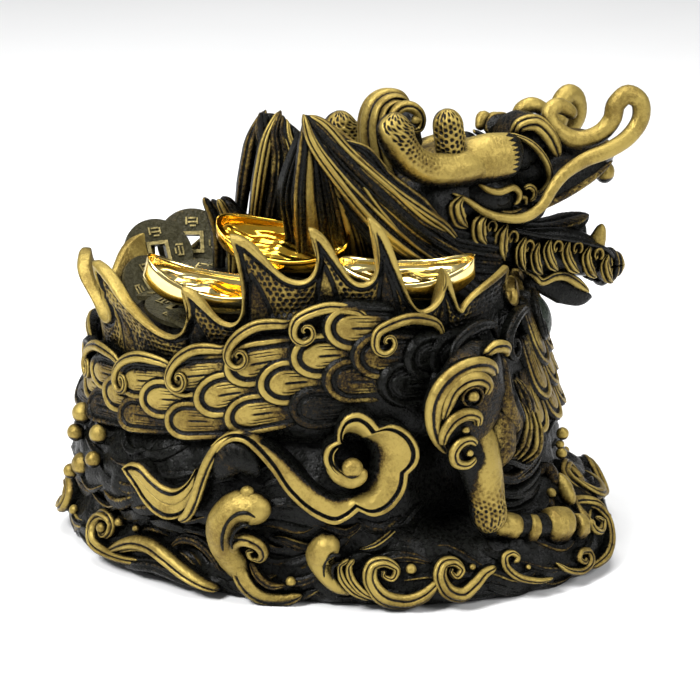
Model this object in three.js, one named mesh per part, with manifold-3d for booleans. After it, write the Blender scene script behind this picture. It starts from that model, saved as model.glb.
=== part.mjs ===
// A cast resin treasure-bowl figurine: a dragon coiled into an oval bowl on a plinth of waves, its
// open-mouthed head turned back over the rim, coins cast into the bowl and three loose gold-plated
// ingots lying on them. Millimetres, +Z up, +X towards the dragon's snout, the viewer at -Y. The
// origin is under the plinth's middle.
import * as THREE from 'three';
import { mergeVertices } from 'three/addons/utils/BufferGeometryUtils.js';
import Module from 'manifold-3d';

// Driving dimensions of the plinth, the coiled body and the head's place
const PLINTH_RADII = [70, 75, 81, 86, 75.5, 68.5, 67, 77, 89, 86.5, 82, 75];
const COIL = { x: -5.4, halfLength: 75, halfDepth: 64 };
const CHEST = { angle: 85, lean: 0.25, from: 40 };
const HEAD = { x: 42, y: 8, z: 100, yaw: 24, sidewaysTilt: 0.2 };
const COIN = { radius: 12, thickness: 2.2, hole: 5 };
const INGOT = { halfLength: 20.5, halfWidth: 10, height: 13 };

// Heights of the scroll chain and of the belly's foot round the coil. These rings and the plinth's
// radii are given every 30 degrees, from the back round the left (-90), the front (0) and the right (90).
const CHAIN_HEIGHTS = [62, 60, 60, 60, 61, 69, 87, 76, 72, 70, 68, 64];
const FOOT_HEIGHTS = [46, 46, 46, 46, 46, 46, 46, 46, 38, 28, 40, 46];
const RING_STEP = 360 / CHAIN_HEIGHTS.length;

// Fins that the front shows: [tip angle, tip height, angle and height of the valley before the tip, lean]
const FRONT_FINS = [
  [-100, 90, -104, 76, 1],
  [-61, 95, -62, 76, 1],
  [-32, 95.5, -37.5, 79, 1],
  [-19.5, 113, -20, 86, 1],
  [-1.5, 116, -3.8, 100, 1],
  [12, 118.5, 10.5, 99, 1],
  [30.5, 102, 24.6, 89, -0.4],
  [49, 98, 36, 87, -1],
  [56, 92, 54, 83, 1],
];
const BACK_FINS = { first: 82, step: 29, count: 6, tip: 87, valley: 76 };

const CURL_ANGLES = [-73.8, -53.3, -33.3, -17.7, -1.7, 16.3, 35.5, 104, 141, 178, 215, 252];

const COLOURS = { gilt: 0x8f7431, paleGold: 0xf2d873, deepGold: 0xe0a21c };

const wasm = await Module();
wasm.setup();

// Small helpers

const radians = THREE.MathUtils.degToRad;
const lerp = THREE.MathUtils.lerp;
const clamp = THREE.MathUtils.clamp;

/** The value of a list of keys, spread evenly from 0 to 1, at t. A plain number is the same all along. */
function along(keys, t) {
  if (!Array.isArray(keys)) return keys;
  const place = clamp(t, 0, 1) * (keys.length - 1);
  const index = Math.min(Math.floor(place), keys.length - 2);
  return lerp(keys[index], keys[index + 1], place - index);
}

/** A smooth value from a ring of keys that repeats every 360 degrees. */
function aroundRing(keys, degrees) {
  const place = (((degrees + 180) % 360) + 360) % 360 / RING_STEP;
  const index = Math.floor(place);
  const t = place - index;
  const key = (k) => keys[(k + keys.length) % keys.length];
  const [a, b, c, d] = [key(index - 1), key(index), key(index + 1), key(index + 2)];
  const square = 2 * a - 5 * b + 4 * c - d;
  const cube = 3 * b - 3 * c + d - a;
  return 0.5 * (2 * b + (c - a) * t + square * t * t + cube * t ** 3);
}

const chainHeight = (degrees) => aroundRing(CHAIN_HEIGHTS, degrees);

/** How far the chest at the right leans in above its widest height. */
function chestLean(degrees, z) {
  const facing = Math.max(0, Math.cos(radians(degrees - CHEST.angle)));
  return CHEST.lean * facing ** 4 * Math.max(0, z - CHEST.from);
}

/** A point on the coil's oval wall: its angle from the front towards the right, height and distance outwards. */
function onCoil(degrees, z, out = 0) {
  const a = radians(degrees);
  const grown = out - chestLean(degrees, z);
  const x = COIL.x + (COIL.halfLength + grown) * Math.sin(a);
  return new THREE.Vector3(x, -(COIL.halfDepth + grown) * Math.cos(a), z);
}

/** A point at the plinth's edge: an angle round its middle, a height, and a distance outwards. */
function onPlinth(degrees, z, out = 0) {
  const a = radians(degrees);
  const radius = aroundRing(PLINTH_RADII, degrees) + out;
  return new THREE.Vector3(radius * Math.sin(a), -radius * Math.cos(a), z);
}

/** The level direction that points away from the plinth's middle. */
function awayFromPlinth(point) {
  return new THREE.Vector3(point.x, point.y, 0).normalize();
}

/** The level direction that points away from the coil's axis. */
function awayFromCoil(point) {
  const slope = (COIL.halfLength / COIL.halfDepth) ** 2;
  return new THREE.Vector3(point.x - COIL.x, point.y * slope, 0).normalize();
}

/** A point of the head: forward to the snout, out to the side that the viewer sees, and up. */
function inHead(forward, side, up) {
  const yaw = radians(HEAD.yaw);
  const x = HEAD.x + forward * Math.cos(yaw) + side * Math.sin(yaw);
  const y = HEAD.y + forward * Math.sin(yaw) - side * Math.cos(yaw);
  return new THREE.Vector3(x, y, HEAD.z + up + HEAD.sidewaysTilt * side);
}

const upright = new THREE.Vector3(0, 0, 1);
const headSide = inHead(0, 1, 0).sub(inHead(0, 0, 0)).normalize();

/** A three.js geometry as a manifold solid: only its positions are kept, with shared corners merged. */
function toSolid(geometry) {
  geometry.deleteAttribute('normal');
  geometry.deleteAttribute('uv');
  const merged = mergeVertices(geometry, 1e-4);
  const mesh = new wasm.Mesh({
    numProp: 3,
    vertProperties: new Float32Array(merged.attributes.position.array),
    triVerts: new Uint32Array(merged.index.array),
  });
  return new wasm.Manifold(mesh);
}

function toGeometry(solid) {
  const mesh = solid.getMesh();
  const geometry = new THREE.BufferGeometry();
  geometry.setAttribute('position', new THREE.BufferAttribute(new Float32Array(mesh.vertProperties), 3));
  geometry.setIndex(new THREE.BufferAttribute(new Uint32Array(mesh.triVerts), 1));
  geometry.computeVertexNormals();
  return geometry;
}

/**
 * A carved strand, limb or lobe: a sphere's rings are laid along a smooth path, so that both ends close.
 * width is the half size across the path on the carving's surface and depth the half size along outward.
 * Every second edge sinks by the share that flute gives.
 */
function strand(points, { width, depth, outward, steps = 10, sides = 6, cap = 0.12, flute = 0 }) {
  const path = new THREE.CatmullRomCurve3(points, false, 'centripetal');
  const geometry = new THREE.SphereGeometry(1, sides, steps);
  const position = geometry.attributes.position;
  for (let row = 0, k = 0; row <= steps; row += 1) {
    const t = row / steps;
    const nearEnd = Math.min(1, Math.min(t, 1 - t) / cap);
    const swell = Math.sqrt(1 - (1 - nearEnd) ** 2);
    const centre = path.getPoint(t);
    const forward = path.getTangent(t);
    const hint = typeof outward === 'function' ? outward(centre, t) : outward;
    const out = hint.clone().addScaledVector(forward, -hint.dot(forward)).normalize();
    const across = new THREE.Vector3().crossVectors(forward, out);
    for (let side = 0; side <= sides; side += 1, k += 1) {
      const a = (side / sides) * 2 * Math.PI + Math.PI / 2;
      const size = swell * (1 - flute * (side % 2));
      const p = centre.clone();
      p.addScaledVector(across, Math.cos(a) * along(width, t) * size);
      p.addScaledVector(out, Math.sin(a) * along(depth, t) * size);
      position.setXYZ(k, p.x, p.y, p.z);
    }
  }
  return toSolid(geometry);
}

/** A rounded lump with its own half sizes along X, Y and Z. */
function lump(centre, sizes, sides = 8, rows = 6) {
  const geometry = new THREE.SphereGeometry(1, sides, rows);
  geometry.rotateX(Math.PI / 2);
  geometry.scale(...sizes);
  geometry.translate(centre.x, centre.y, centre.z);
  return toSolid(geometry);
}

/**
 * A solid of rings laid round the coil: point(column, row) for rows that close on themselves, or that
 * start and end on one axis.
 */
function ringSolid(columns, rows, point, closesOnItself) {
  const length = closesOnItself ? rows + 1 : rows;
  const profile = Array.from({ length }, (_, row) => new THREE.Vector2(1, row));
  const geometry = new THREE.LatheGeometry(profile, columns);
  const position = geometry.attributes.position;
  const perColumn = profile.length;
  for (let k = 0; k < position.count; k += 1) {
    const p = point(Math.floor(k / perColumn) % columns, (k % perColumn) % rows);
    position.setXYZ(k, p.x, p.y, p.z);
  }
  return toSolid(geometry);
}

// The plinth and the core of rock under the coil

// Rows of the plinth's edge: share of the outline and height. Rows of the rock: height and distance
// from the coil.
const EDGE_ROWS = [[0, 0], [0.955, 0], [1, 5], [0.95, 14]];
const ROCK_ROWS = [[24, 2], [40, 0], [54, -8], [60, -16]];
const PLINTH_COLUMNS = 30;
const HOLLOW = { angle: 42, depth: 12 };

/** How far the rock sinks in behind the foreleg. */
function rockHollow(degrees) {
  return HOLLOW.depth * Math.max(0, Math.cos(radians(degrees - HOLLOW.angle))) ** 12;
}

function plinth() {
  const rows = EDGE_ROWS.length + ROCK_ROWS.length + 1;
  return ringSolid(PLINTH_COLUMNS, rows, (column, row) => {
    const angle = (360 * column) / PLINTH_COLUMNS;
    if (row === rows - 1) return new THREE.Vector3(0, 0, 60);
    if (row < EDGE_ROWS.length) {
      const [share, z] = EDGE_ROWS[row];
      const edge = onPlinth(angle, 0);
      return new THREE.Vector3(edge.x * share, edge.y * share, z);
    }
    const [z, out] = ROCK_ROWS[row - EDGE_ROWS.length];
    return onCoil(angle, z, out - rockHollow(angle));
  }, false);
}

// The coiled body: a bowl wall whose top edge rises into fins

/** All fins round the rim in order, each with its valley before it. */
function allFins() {
  const fins = [...FRONT_FINS];
  for (let k = 0; k < BACK_FINS.count; k += 1) {
    const tip = BACK_FINS.first + k * BACK_FINS.step;
    fins.push([tip, BACK_FINS.tip, tip - 4, BACK_FINS.valley, 1]);
  }
  return fins;
}

/** The rim's edge as columns: the angle at the wall's foot, and the angle and height of the edge. */
function rimColumns() {
  const fins = allFins();
  const columns = [];
  fins.forEach(([tipAngle, tipZ, valleyAngle, valleyZ, lean], k) => {
    const next = fins[(k + 1) % fins.length];
    const nextAngle = next[2] + (k === fins.length - 1 ? 360 : 0);
    const span = nextAngle - valleyAngle;
    const bow = 0.22 * span * lean;
    const rise = new THREE.CubicBezierCurve(
      new THREE.Vector2(valleyAngle, valleyZ),
      new THREE.Vector2(valleyAngle + Math.max(bow, 0) + 1, valleyZ),
      new THREE.Vector2(tipAngle + bow, lerp(valleyZ, tipZ, 0.45)),
      new THREE.Vector2(tipAngle, tipZ),
    );
    const fall = new THREE.CubicBezierCurve(
      new THREE.Vector2(tipAngle, tipZ),
      new THREE.Vector2(tipAngle + bow * 1.2, lerp(next[3], tipZ, 0.75)),
      new THREE.Vector2(nextAngle - 0.3 * span, next[3]),
      new THREE.Vector2(nextAngle, next[3]),
    );
    const isPlain = k >= FRONT_FINS.length;
    const rises = lean > 0 ? [0, 0.5] : [0, 0.4, 0.75];
    const falls = isPlain ? [0] : [0, 0.3, 0.65];
    const share = rises.length + falls.length;
    rises.forEach((t, i) => {
      const foot = valleyAngle + (span * i) / share;
      columns.push({ foot, edge: rise.getPoint(t) });
    });
    falls.forEach((t, i) => {
      const foot = valleyAngle + (span * (rises.length + i)) / share;
      columns.push({ foot, edge: fall.getPoint(t) });
    });
  });
  return columns;
}

// The wall's section: from its foot over the belly to the scroll chain, then over the fin and down inside.
// Belly rows: share of the height from the foot to the chain, and how far out
const BELLY_ROWS = [[0, -18], [0.12, -2], [0.4, 1], [0.95, 0]];
// Fin rows: share of the way from the chain's crest to the rim's edge, and how far out
const FIN_ROWS = [[0, -3.5], [1, -0.5], [1, -3], [0.35, -8.5], [-0.3, -17]];
const CREST_LIFT = 7;

function coil() {
  const columns = rimColumns();
  const rows = BELLY_ROWS.length + FIN_ROWS.length;
  return ringSolid(columns.length, rows, (column, row) => {
    const { foot, edge } = columns[column];
    const chain = chainHeight(foot);
    if (row < BELLY_ROWS.length) {
      const [share, out] = BELLY_ROWS[row];
      const z = lerp(aroundRing(FOOT_HEIGHTS, foot), chain, share);
      return onCoil(foot, z, out);
    }
    const [share, out] = FIN_ROWS[row - BELLY_ROWS.length];
    const angle = lerp(foot, edge.x, clamp(share, 0, 1));
    const z = lerp(chain + CREST_LIFT, edge.y, share);
    return onCoil(angle, z, out);
  }, true);
}

/** The bed of coins that fills the bowl: a low mound between the walls. */
const BED = {
  columns: 14,
  rows: [[0, 46], [-12, 46], [-8, 68], [-26, 79], [-40, 85], [0, 86]],
  x: -8,
  y: -8,
};

function bed() {
  return ringSolid(BED.columns, BED.rows.length, (column, row) => {
    const [out, z] = BED.rows[row];
    const isPole = row === 0 || row === BED.rows.length - 1;
    const p = onCoil((360 * column) / BED.columns, z, out);
    return isPole ? new THREE.Vector3(BED.x, BED.y, z) : p;
  }, false);
}

// Scrolls that edge the body, and the waves of the plinth

/** A spiral round a centre angle and height on a surface, from its outer turn inwards. */
function spiral(place, angle, z, out, { radius, inner, start, turns, count, hand = 1 }) {
  const perDegree = radians(COIL.halfLength);
  return Array.from({ length: count }, (_, k) => {
    const t = k / (count - 1);
    const a = radians(start) + hand * turns * 2 * Math.PI * t;
    const r = lerp(radius, inner, t ** 0.8);
    return place(angle + (r * Math.cos(a)) / perDegree, z + r * Math.sin(a), out);
  });
}

/** One scroll of the chain: a long back that arches over and rolls into a curl. */
function chainScroll(angle) {
  const z = chainHeight(angle);
  const back = [
    onCoil(angle + 15, z + 7, -2),
    onCoil(angle + 8, z + 11, -1),
    onCoil(angle + 1, z + 10.5, 0),
  ];
  const turn = { radius: 7, inner: 1.5, start: 125, turns: 0.9, count: 5 };
  const curl = spiral(onCoil, angle, z, 1, turn);
  return strand([...back, ...curl], {
    width: [1.2, 2.2, 2.3, 2.1, 1.6], depth: 2.2, outward: awayFromCoil, steps: 8, sides: 3, cap: 0.05,
  });
}

/** A wave of the plinth: a crest that climbs from its tail and rolls over. */
function waveScroll({ angle, z, out = 0, size, tail = 13, hand = 1 }) {
  const shape = { radius: size, inner: size * 0.22, start: -90, turns: 1.1, count: 7, hand: -hand };
  const curl = spiral(onPlinth, angle, z, out, shape);
  const foot = onPlinth(angle + hand * tail, z - size * 0.9, out - 3);
  const run = onPlinth(angle + hand * tail * 0.5, z - size * 1.12, out - 0.5);
  return strand([foot, run, ...curl], {
    width: [1.5, size * 0.3, size * 0.32, size * 0.25, size * 0.2],
    depth: [2, 3.4, 3.6, 3, 2.4],
    outward: awayFromPlinth,
    steps: 8,
    sides: 4,
    cap: 0.05,
  });
}

const WAVES = [
  { angle: -62.8, z: 10.5, size: 6.5, tail: 17 },
  { angle: -18.5, z: 16, out: 4, size: 10.5, tail: 17 },
  { angle: 11.8, z: 10.5, out: 1, size: 7.5 },
  { angle: 27, z: 10, size: 7.5 },
  { angle: 42.5, z: 10, out: -1, size: 5.5 },
  { angle: 66, z: 8.5, out: -1, size: 5.5 },
  { angle: 76, z: 21, out: -5, size: 6 },
  { angle: 102, z: 11, size: 7.5 },
  { angle: 131, z: 12, size: 8 },
  { angle: 160, z: 11, size: 7.5 },
  { angle: 189, z: 12, size: 8.5 },
  { angle: 218, z: 11, size: 8 },
  { angle: 246, z: 12, size: 8 },
  { angle: 272, z: 13, size: 6, hand: -1 },
];

/** The two round-headed waves in front and the ridge that runs in from the left. */
function roundHeadedWaves() {
  const tall = [[-21, 4, 4], [-21.5, 14, 5], [-20, 25, 5], [-15.5, 33, 4], [-11, 34, 3]];
  const short = [[9, 4, 4], [3, 7, 4], [1, 14, 4], [3, 21, 3], [6, 21, 3]];
  const ridge = [[-49, 5, 3], [-41, 15, 4], [-34, 18.5, 4], [-26, 14, 4], [-18, 7, 4]];
  const build = (points, width) => strand(points.map((p) => onCoil(...p)), {
    width, depth: [2, 5, 6, 6, 5], outward: awayFromCoil, steps: 7, sides: 6, cap: 0.25,
  });
  return [build(tall, [2, 4, 6, 9, 8]), build(short, [2, 4, 6, 7, 5.5]), build(ridge, [2, 4, 4, 4, 2])];
}

/** The lucky cloud: a ribbon that waves along the plinth and rolls into a lobed head. */
function cloud() {
  const ribbon = [
    [-50, 37], [-43, 34], [-36, 28], [-28, 29], [-22, 40], [-15, 50], [-9, 45], [-3, 36],
    [5, 33], [13, 35], [17, 45], [12, 54], [5, 54], [2.5, 48], [7, 45],
  ].map(([angle, z]) => onCoil(angle, z, 3));
  const band = strand(ribbon, {
    width: [1, 4.5, 5.5, 4.5, 3.8, 4.5, 5.5, 6.5, 7.5, 8.5, 8, 7, 5.5, 3.5, 3.5],
    depth: 4.2, outward: awayFromCoil, steps: 20, sides: 5, cap: 0.04,
  });
  const lobes = [[20, 36, 7], [20, 51, 6.5], [11, 59, 6]].map(([angle, z, size]) => {
    return lump(onCoil(angle, z, 3), [size, 4, size], 6, 4);
  });
  return [band, ...lobes];
}

// Limbs

/** The foreleg at the right: an upper leg of curled fur, a shank and a paw of knuckles on the plinth. */
function foreleg() {
  const shoulder = strand([[45, 74, 2], [36, 68, 8], [32, 58, 9], [33, 46, 8]].map((p) => onCoil(...p)), {
    width: [7, 13, 13, 8], depth: [6, 9, 9, 7], outward: awayFromCoil, steps: 6, sides: 6, cap: 0.3,
  });
  const shank = strand([[32, 56, 7], [34, 42, 9], [36, 30, 11], [36, 22, 12]].map((p) => onCoil(...p)), {
    width: [8, 6.5, 5, 6.5], depth: [6, 6, 5.5, 6], outward: awayFromCoil, steps: 5, sides: 6, cap: 0.15,
  });
  const turns = [[32.5, 67, 10.5, 15], [31, 57, 7.5, 15], [32, 49, 6, 15]];
  const curls = turns.map(([angle, z, radius, out]) => strand(
    spiral(onCoil, angle, z, out, { radius, inner: radius * 0.3, start: 20, turns: 0.85, count: 7 }),
    { width: [1.8, 3, 2.8, 2.2], depth: 3.2, outward: awayFromCoil, steps: 7, sides: 3, cap: 0.08 },
  ));
  return [shoulder, shank, ...curls];
}

/** A paw: toes that fan out from a heel, each with a knuckle and a blunt tip. */
function paw(heel, tips, lift) {
  return tips.map(([x, y, z]) => {
    const tip = new THREE.Vector3(x, y, z);
    const knuckle = heel.clone().lerp(tip, 0.75);
    knuckle.z += lift;
    return strand([heel, heel.clone().lerp(knuckle, 0.5), knuckle, tip], {
      width: [4, 3.6, 5.2, 2.4], depth: [4, 3.8, 5.2, 2.6], outward: upright, steps: 5, sides: 5, cap: 0.3,
    });
  });
}

const FOREPAW = { heel: [44, -60, 23], tips: [[76, -44, 15], [75, -30, 16], [70, -13, 20]], lift: 2 };
const HINDPAW = { heel: [-62, -16, 32], tips: [[-80, -12, 26], [-83, 2, 31], [-78, 8, 39]], lift: 2 };
const PEARL = { place: [58, 12, 64.5], radius: 11 };

function pawAt({ heel, tips, lift }) {
  return paw(new THREE.Vector3(...heel), tips, lift);
}

// The head

/** Both halves of something that the head has on each side. */
function bothSides(build) {
  return [1, -1].flatMap((side) => build((f, d, u) => inHead(f, side * d, u)));
}

function skull() {
  const cranium = strand([inHead(-34, 0, -2), inHead(-18, 0, 5), inHead(0, 0, 11), inHead(16, 0, 13)], {
    width: [15, 19, 17, 13], depth: [14, 18, 17, 12], outward: upright, steps: 6, sides: 8, cap: 0.35,
  });
  const upperJaw = strand([inHead(6, 0, 10), inHead(20, 0, 14), inHead(34, 0, 17), inHead(50, 0, 22)], {
    width: [15, 13, 12, 8], depth: [10, 7, 5, 4], outward: upright, steps: 5, sides: 7, cap: 0.2,
  });
  const nose = strand([inHead(12, 0, 20), inHead(19, 0, 24), inHead(24, 0, 22)], {
    width: [10, 13, 12], depth: [6, 9, 7], outward: upright, steps: 5, sides: 7, cap: 0.35,
  });
  const lowerJaw = strand([inHead(-6, 0, -8), inHead(12, 0, -11), inHead(30, 0, -15), inHead(50, 0, -21)], {
    width: [15, 13, 11, 6], depth: [10, 7.5, 7, 6], outward: upright, steps: 6, sides: 7, cap: 0.18,
  });
  const tongue = strand([inHead(12, 0, -4), inHead(26, 0, -5), inHead(36, 0, -2), inHead(43, 0, 1)], {
    width: [6, 7, 8, 4], depth: [2, 2, 1.6, 1.4], outward: upright, steps: 5, sides: 5, cap: 0.25,
  });
  const crest = strand([inHead(-29, 0, 14), inHead(-31.5, 0, 30), inHead(-25, 0, 38), inHead(-17.5, 0, 34),
    inHead(-17.5, 0, 27), inHead(-22, 0, 26)], {
    width: [6, 4.5, 4, 3.5, 3.5, 3.5], depth: 8, outward: headSide, steps: 8, sides: 5, cap: 0.12,
  });
  const beard = strand([inHead(13, 2, -18), inHead(23, 2, -22), inHead(31, 2, -26), inHead(37, 2, -33)], {
    width: [4, 5, 4, 1.5], depth: [5, 4, 3, 1.5], outward: upright, steps: 5, sides: 5, cap: 0.15,
  });
  return [cranium, upperJaw, nose, lowerJaw, tongue, crest, beard];
}

function hornsAndTeeth() {
  return bothSides((at) => {
    const beam = [
      at(16, 11, 15), at(1, 14, 12), at(-13, 17, 11),
      at(-25, 19, 14), at(-34, 21, 22), at(-39, 22, 36),
    ];
    const horn = strand(beam, {
      width: [6, 8, 7, 6, 5.5, 6], depth: [6, 7, 6.5, 6, 5.5, 6],
      outward: upright.clone().addScaledVector(headSide, 0.3),
      steps: 8, sides: 6, cap: 0.2,
    });
    const prong = strand([at(-11, 15, 12), at(-14, 15, 22), at(-16, 14, 33)], {
      width: [6, 5, 5.5], depth: [6, 5, 5.5], outward: headSide, steps: 5, sides: 6, cap: 0.3,
    });
    const fang = strand([at(40, 4, -19), at(42, 6, -11), at(43, 7, -5)], {
      width: [4, 2.6, 1], depth: [2.4, 2, 1], outward: headSide, steps: 3, sides: 5, cap: 0.2,
    });
    const wing = [at(10, 9, 26), at(17, 9, 31), at(23, 9, 26), at(24.5, 10, 17), at(21, 11, 7)];
    const nostril = strand(wing, {
      width: [2, 3, 3, 2.6, 1.6], depth: [3, 4, 3.6, 3, 2],
      outward: headSide, steps: 6, sides: 5, cap: 0.15,
    });
    return [horn, prong, fang, nostril];
  });
}

/** The whiskers: out from the cheek, along the lip, forward past the snout and back over it in a loop. */
function whiskers() {
  return bothSides((at) => [strand([
    at(-4, 17, 3), at(9, 18, -1), at(19, 18, 7), at(31, 19, 18.5), at(43.5, 21, 25.5), at(48.5, 20.5, 31.5),
    at(44.5, 19, 35.5), at(39, 17.5, 31), at(34, 15, 24.5), at(28, 12, 23), at(24, 9, 28), at(27, 5, 32),
  ], {
    width: [1, 1.8, 2.2, 2.5, 2.7, 2.7], depth: [1.4, 1.8, 2.2, 2.5, 2.7, 2.7], outward: headSide,
    steps: 19, sides: 4, cap: 0.05,
  })]);
}

// The mane on each side sweeps back from the cheek and up: a fluted fan whose edges end in two pointed locks
const FAN = [[2, 11, -11], [-18, 14, -4], [-33, 15, 6], [-47, 15, 20], [-60, 14, 34]];
const SIDE_LOCKS = [
  [[-14, 15, 3], [-37, 18, 16], [-59, 13, 38], 5],
  [[-8, 13, -17], [-40, 16, -3], [-66, 12, 39], 5.5],
];
// Locks that stand up behind the nape: root, middle and tip as forward, side and up, then the half width
const BACK_LOCKS = [
  [[-46, -18, -18], [-61, -18, 8], [-56, -16, 35], 8],
  [[-40, -16, -18], [-54, -17, 8], [-52, -14, 30], 7],
  [[-50, -22, -20], [-66, -22, -1], [-76, -20, 15], 6],
];

function fan(at) {
  return strand(FAN.map((p) => at(...p)), {
    width: [13, 14, 11.5, 8, 3.5], depth: [9, 9, 8, 6, 3],
    outward: headSide, steps: 6, sides: 10, cap: 0.15, flute: 0.2,
  });
}

function lock([root, middle, tip, width], at = inHead) {
  return strand([at(...root), at(...middle), at(...tip)], {
    width: [width * 0.7, width, width * 0.8, width * 0.25],
    depth: [4, 5, 4, 1.2],
    outward: headSide,
    steps: 4,
    sides: 5,
  });
}

function mane() {
  const sides = bothSides((at) => [fan(at), ...SIDE_LOCKS.map((shape) => lock(shape, at))]);
  return [...sides, ...BACK_LOCKS.map((shape) => lock(shape))];
}

/** The throat, which rises out of the coil and carries the head, and the nape behind the mane. */
function neck() {
  const rise = [onCoil(75, 52, -12), onCoil(80, 70, -18), onCoil(85, 84, -32), inHead(-10, 0, -6)];
  const throat = strand(rise, {
    width: [18, 17, 17, 15], depth: [10, 13, 16, 13], outward: awayFromCoil, steps: 5, sides: 7, cap: 0.2,
  });
  const stem = [new THREE.Vector3(0, 8, 68), new THREE.Vector3(5, 6, 86), inHead(-20, 0, -2)];
  const nape = strand(stem, {
    width: [14, 15, 15], depth: [14, 15, 13], outward: headSide, steps: 4, sides: 7, cap: 0.25,
  });
  return [throat, nape];
}

// Coins and ingots

/** A cash coin: a round rim, a sunk field on each face and a square hole. */
function coinGeometry() {
  const disc = new THREE.Shape();
  disc.absarc(0, 0, COIN.radius, 0, 2 * Math.PI);
  const h = COIN.hole / 2;
  const hole = new THREE.Path([[-h, -h], [-h, h], [h, h], [h, -h]].map((p) => new THREE.Vector2(...p)));
  disc.holes.push(hole);
  const slab = { depth: COIN.thickness, bevelEnabled: false, curveSegments: 5 };
  const geometry = new THREE.ExtrudeGeometry(disc, slab);
  geometry.translate(0, 0, -COIN.thickness / 2);
  return geometry;
}

// Coins that stand out of the bed: [x, y, z, turn about Z, lean back from upright]
const COINS = [
  [-57.5, 36, 80.5, 25, 35],
  [-47, 46, 81, 7, 30],
  [-58, 22, 73, 48, 42],
  [-14, 46, 75, -14, 34],
];

function coins() {
  return COINS.map(([x, y, z, turn, lean]) => {
    const geometry = coinGeometry();
    const pose = new THREE.Object3D();
    pose.rotation.set(radians(90 - lean), 0, radians(turn), 'ZXY');
    pose.position.set(x, y, z);
    pose.updateMatrix();
    geometry.applyMatrix4(pose.matrix);
    return toSolid(geometry);
  });
}

// How many stretches the boat ingot's length is divided into, from stem to stern
const INGOT_SECTIONS = 8;

/** A boat-shaped ingot, open on top, with a swollen middle and ends that sweep up. */
function ingotGeometry() {
  const sides = 6;
  const inner = 0.8;
  const geometry = new THREE.SphereGeometry(1, 2 * sides, INGOT_SECTIONS);
  const position = geometry.attributes.position;
  for (let row = 0, k = 0; row <= INGOT_SECTIONS; row += 1) {
    const s = Math.cos((Math.PI * row) / INGOT_SECTIONS);
    const isTip = row === 0 || row === INGOT_SECTIONS;
    const halfWidth = INGOT.halfWidth * Math.sqrt(Math.max(0, 1 - s * s)) ** 0.9;
    const sheer = INGOT.height * (0.62 + 0.38 * s * s);
    const keel = INGOT.height * 0.5 * s ** 4;
    for (let side = 0; side <= 2 * sides; side += 1, k += 1) {
      const lap = side / sides;
      const outside = lap <= 1 || side === 2 * sides;
      const a = Math.PI * (outside ? lap % 2 : 2 - lap);
      const across = -Math.cos(a) * halfWidth * (outside ? 1 : inner);
      const belly = isTip ? 0 : Math.sin(a) ** 0.8;
      const floor = keel + (outside ? 0 : 0.42 * (sheer - keel) * (1 - 0.3 * s * s));
      position.setXYZ(k, s * INGOT.halfLength, across, lerp(sheer, floor, belly));
    }
  }
  return geometry;
}

/** Where each loose ingot lies: name, place, turn about Z, roll towards the viewer, pitch and colour. */
const INGOTS = [
  ['left_ingot', [-39, -33, 83.2], 6, 8, 13, COLOURS.paleGold],
  ['middle_ingot', [-16, -19, 93.5], -8, 24, 6, COLOURS.deepGold],
  ['right_ingot', [22, -34.5, 86.8], -4, 6, -2, COLOURS.paleGold],
];

// Assembly

function join(solids) {
  return solids.reduce((whole, piece) => whole.add(piece));
}

function castingSolid() {
  const { radius } = PEARL;
  const pearl = lump(new THREE.Vector3(...PEARL.place), [radius, radius, radius], 10, 7);
  return join([
    plinth(), coil(), bed(),
    ...CURL_ANGLES.map(chainScroll), ...WAVES.map(waveScroll), ...roundHeadedWaves(),
    ...cloud(), ...foreleg(), ...pawAt(FOREPAW), ...pawAt(HINDPAW), pearl,
    ...neck(), ...skull(), ...hornsAndTeeth(), ...whiskers(), ...mane(), ...coins(),
  ]);
}

const figurine = new THREE.Group();

const casting = new THREE.Mesh(
  toGeometry(castingSolid()),
  new THREE.MeshStandardMaterial({ color: COLOURS.gilt, roughness: 0.45, metalness: 0.4 }),
);
casting.name = 'dragon_casting';
figurine.add(casting);

for (const [name, place, turn, roll, pitch, colour] of INGOTS) {
  const material = new THREE.MeshStandardMaterial({ color: colour, roughness: 0.15, metalness: 1 });
  const ingot = new THREE.Mesh(toGeometry(toSolid(ingotGeometry())), material);
  ingot.name = name;
  ingot.position.set(...place);
  ingot.rotation.set(radians(roll), radians(pitch), radians(turn), 'ZYX');
  figurine.add(ingot);
}

export default figurine;
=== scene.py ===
"""The visual model of an antique-gold dragon treasure bowl.

A scaled dragon is coiled into an oval bowl on a plinth of waves. Its fins are the bowl's rim, its head turns
back over the rim, coins are cast into the bowl and three loose plated ingots lie on them. Sizes are in
millimetres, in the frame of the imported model, and become metres when a piece is made.
"""

from __future__ import annotations

import logging
import math
from dataclasses import dataclass, field
from enum import Enum
from typing import Callable, Sequence

import bpy
import numpy as np
from mathutils import Matrix, Vector

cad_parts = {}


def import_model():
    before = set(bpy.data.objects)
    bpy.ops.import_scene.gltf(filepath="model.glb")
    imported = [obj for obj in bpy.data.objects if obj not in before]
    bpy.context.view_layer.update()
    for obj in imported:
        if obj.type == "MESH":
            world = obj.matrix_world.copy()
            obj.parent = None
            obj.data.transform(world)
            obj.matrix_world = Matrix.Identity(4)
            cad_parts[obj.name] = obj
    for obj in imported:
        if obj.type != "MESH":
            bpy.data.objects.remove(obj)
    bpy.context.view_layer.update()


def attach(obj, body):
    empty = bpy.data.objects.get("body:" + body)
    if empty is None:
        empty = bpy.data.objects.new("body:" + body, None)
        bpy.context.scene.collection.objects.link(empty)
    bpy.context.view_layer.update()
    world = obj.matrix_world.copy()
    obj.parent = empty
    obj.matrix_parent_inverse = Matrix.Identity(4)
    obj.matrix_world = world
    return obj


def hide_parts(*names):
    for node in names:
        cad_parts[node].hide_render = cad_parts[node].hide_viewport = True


LOG = logging.getLogger("dragon_bowl")
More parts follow.
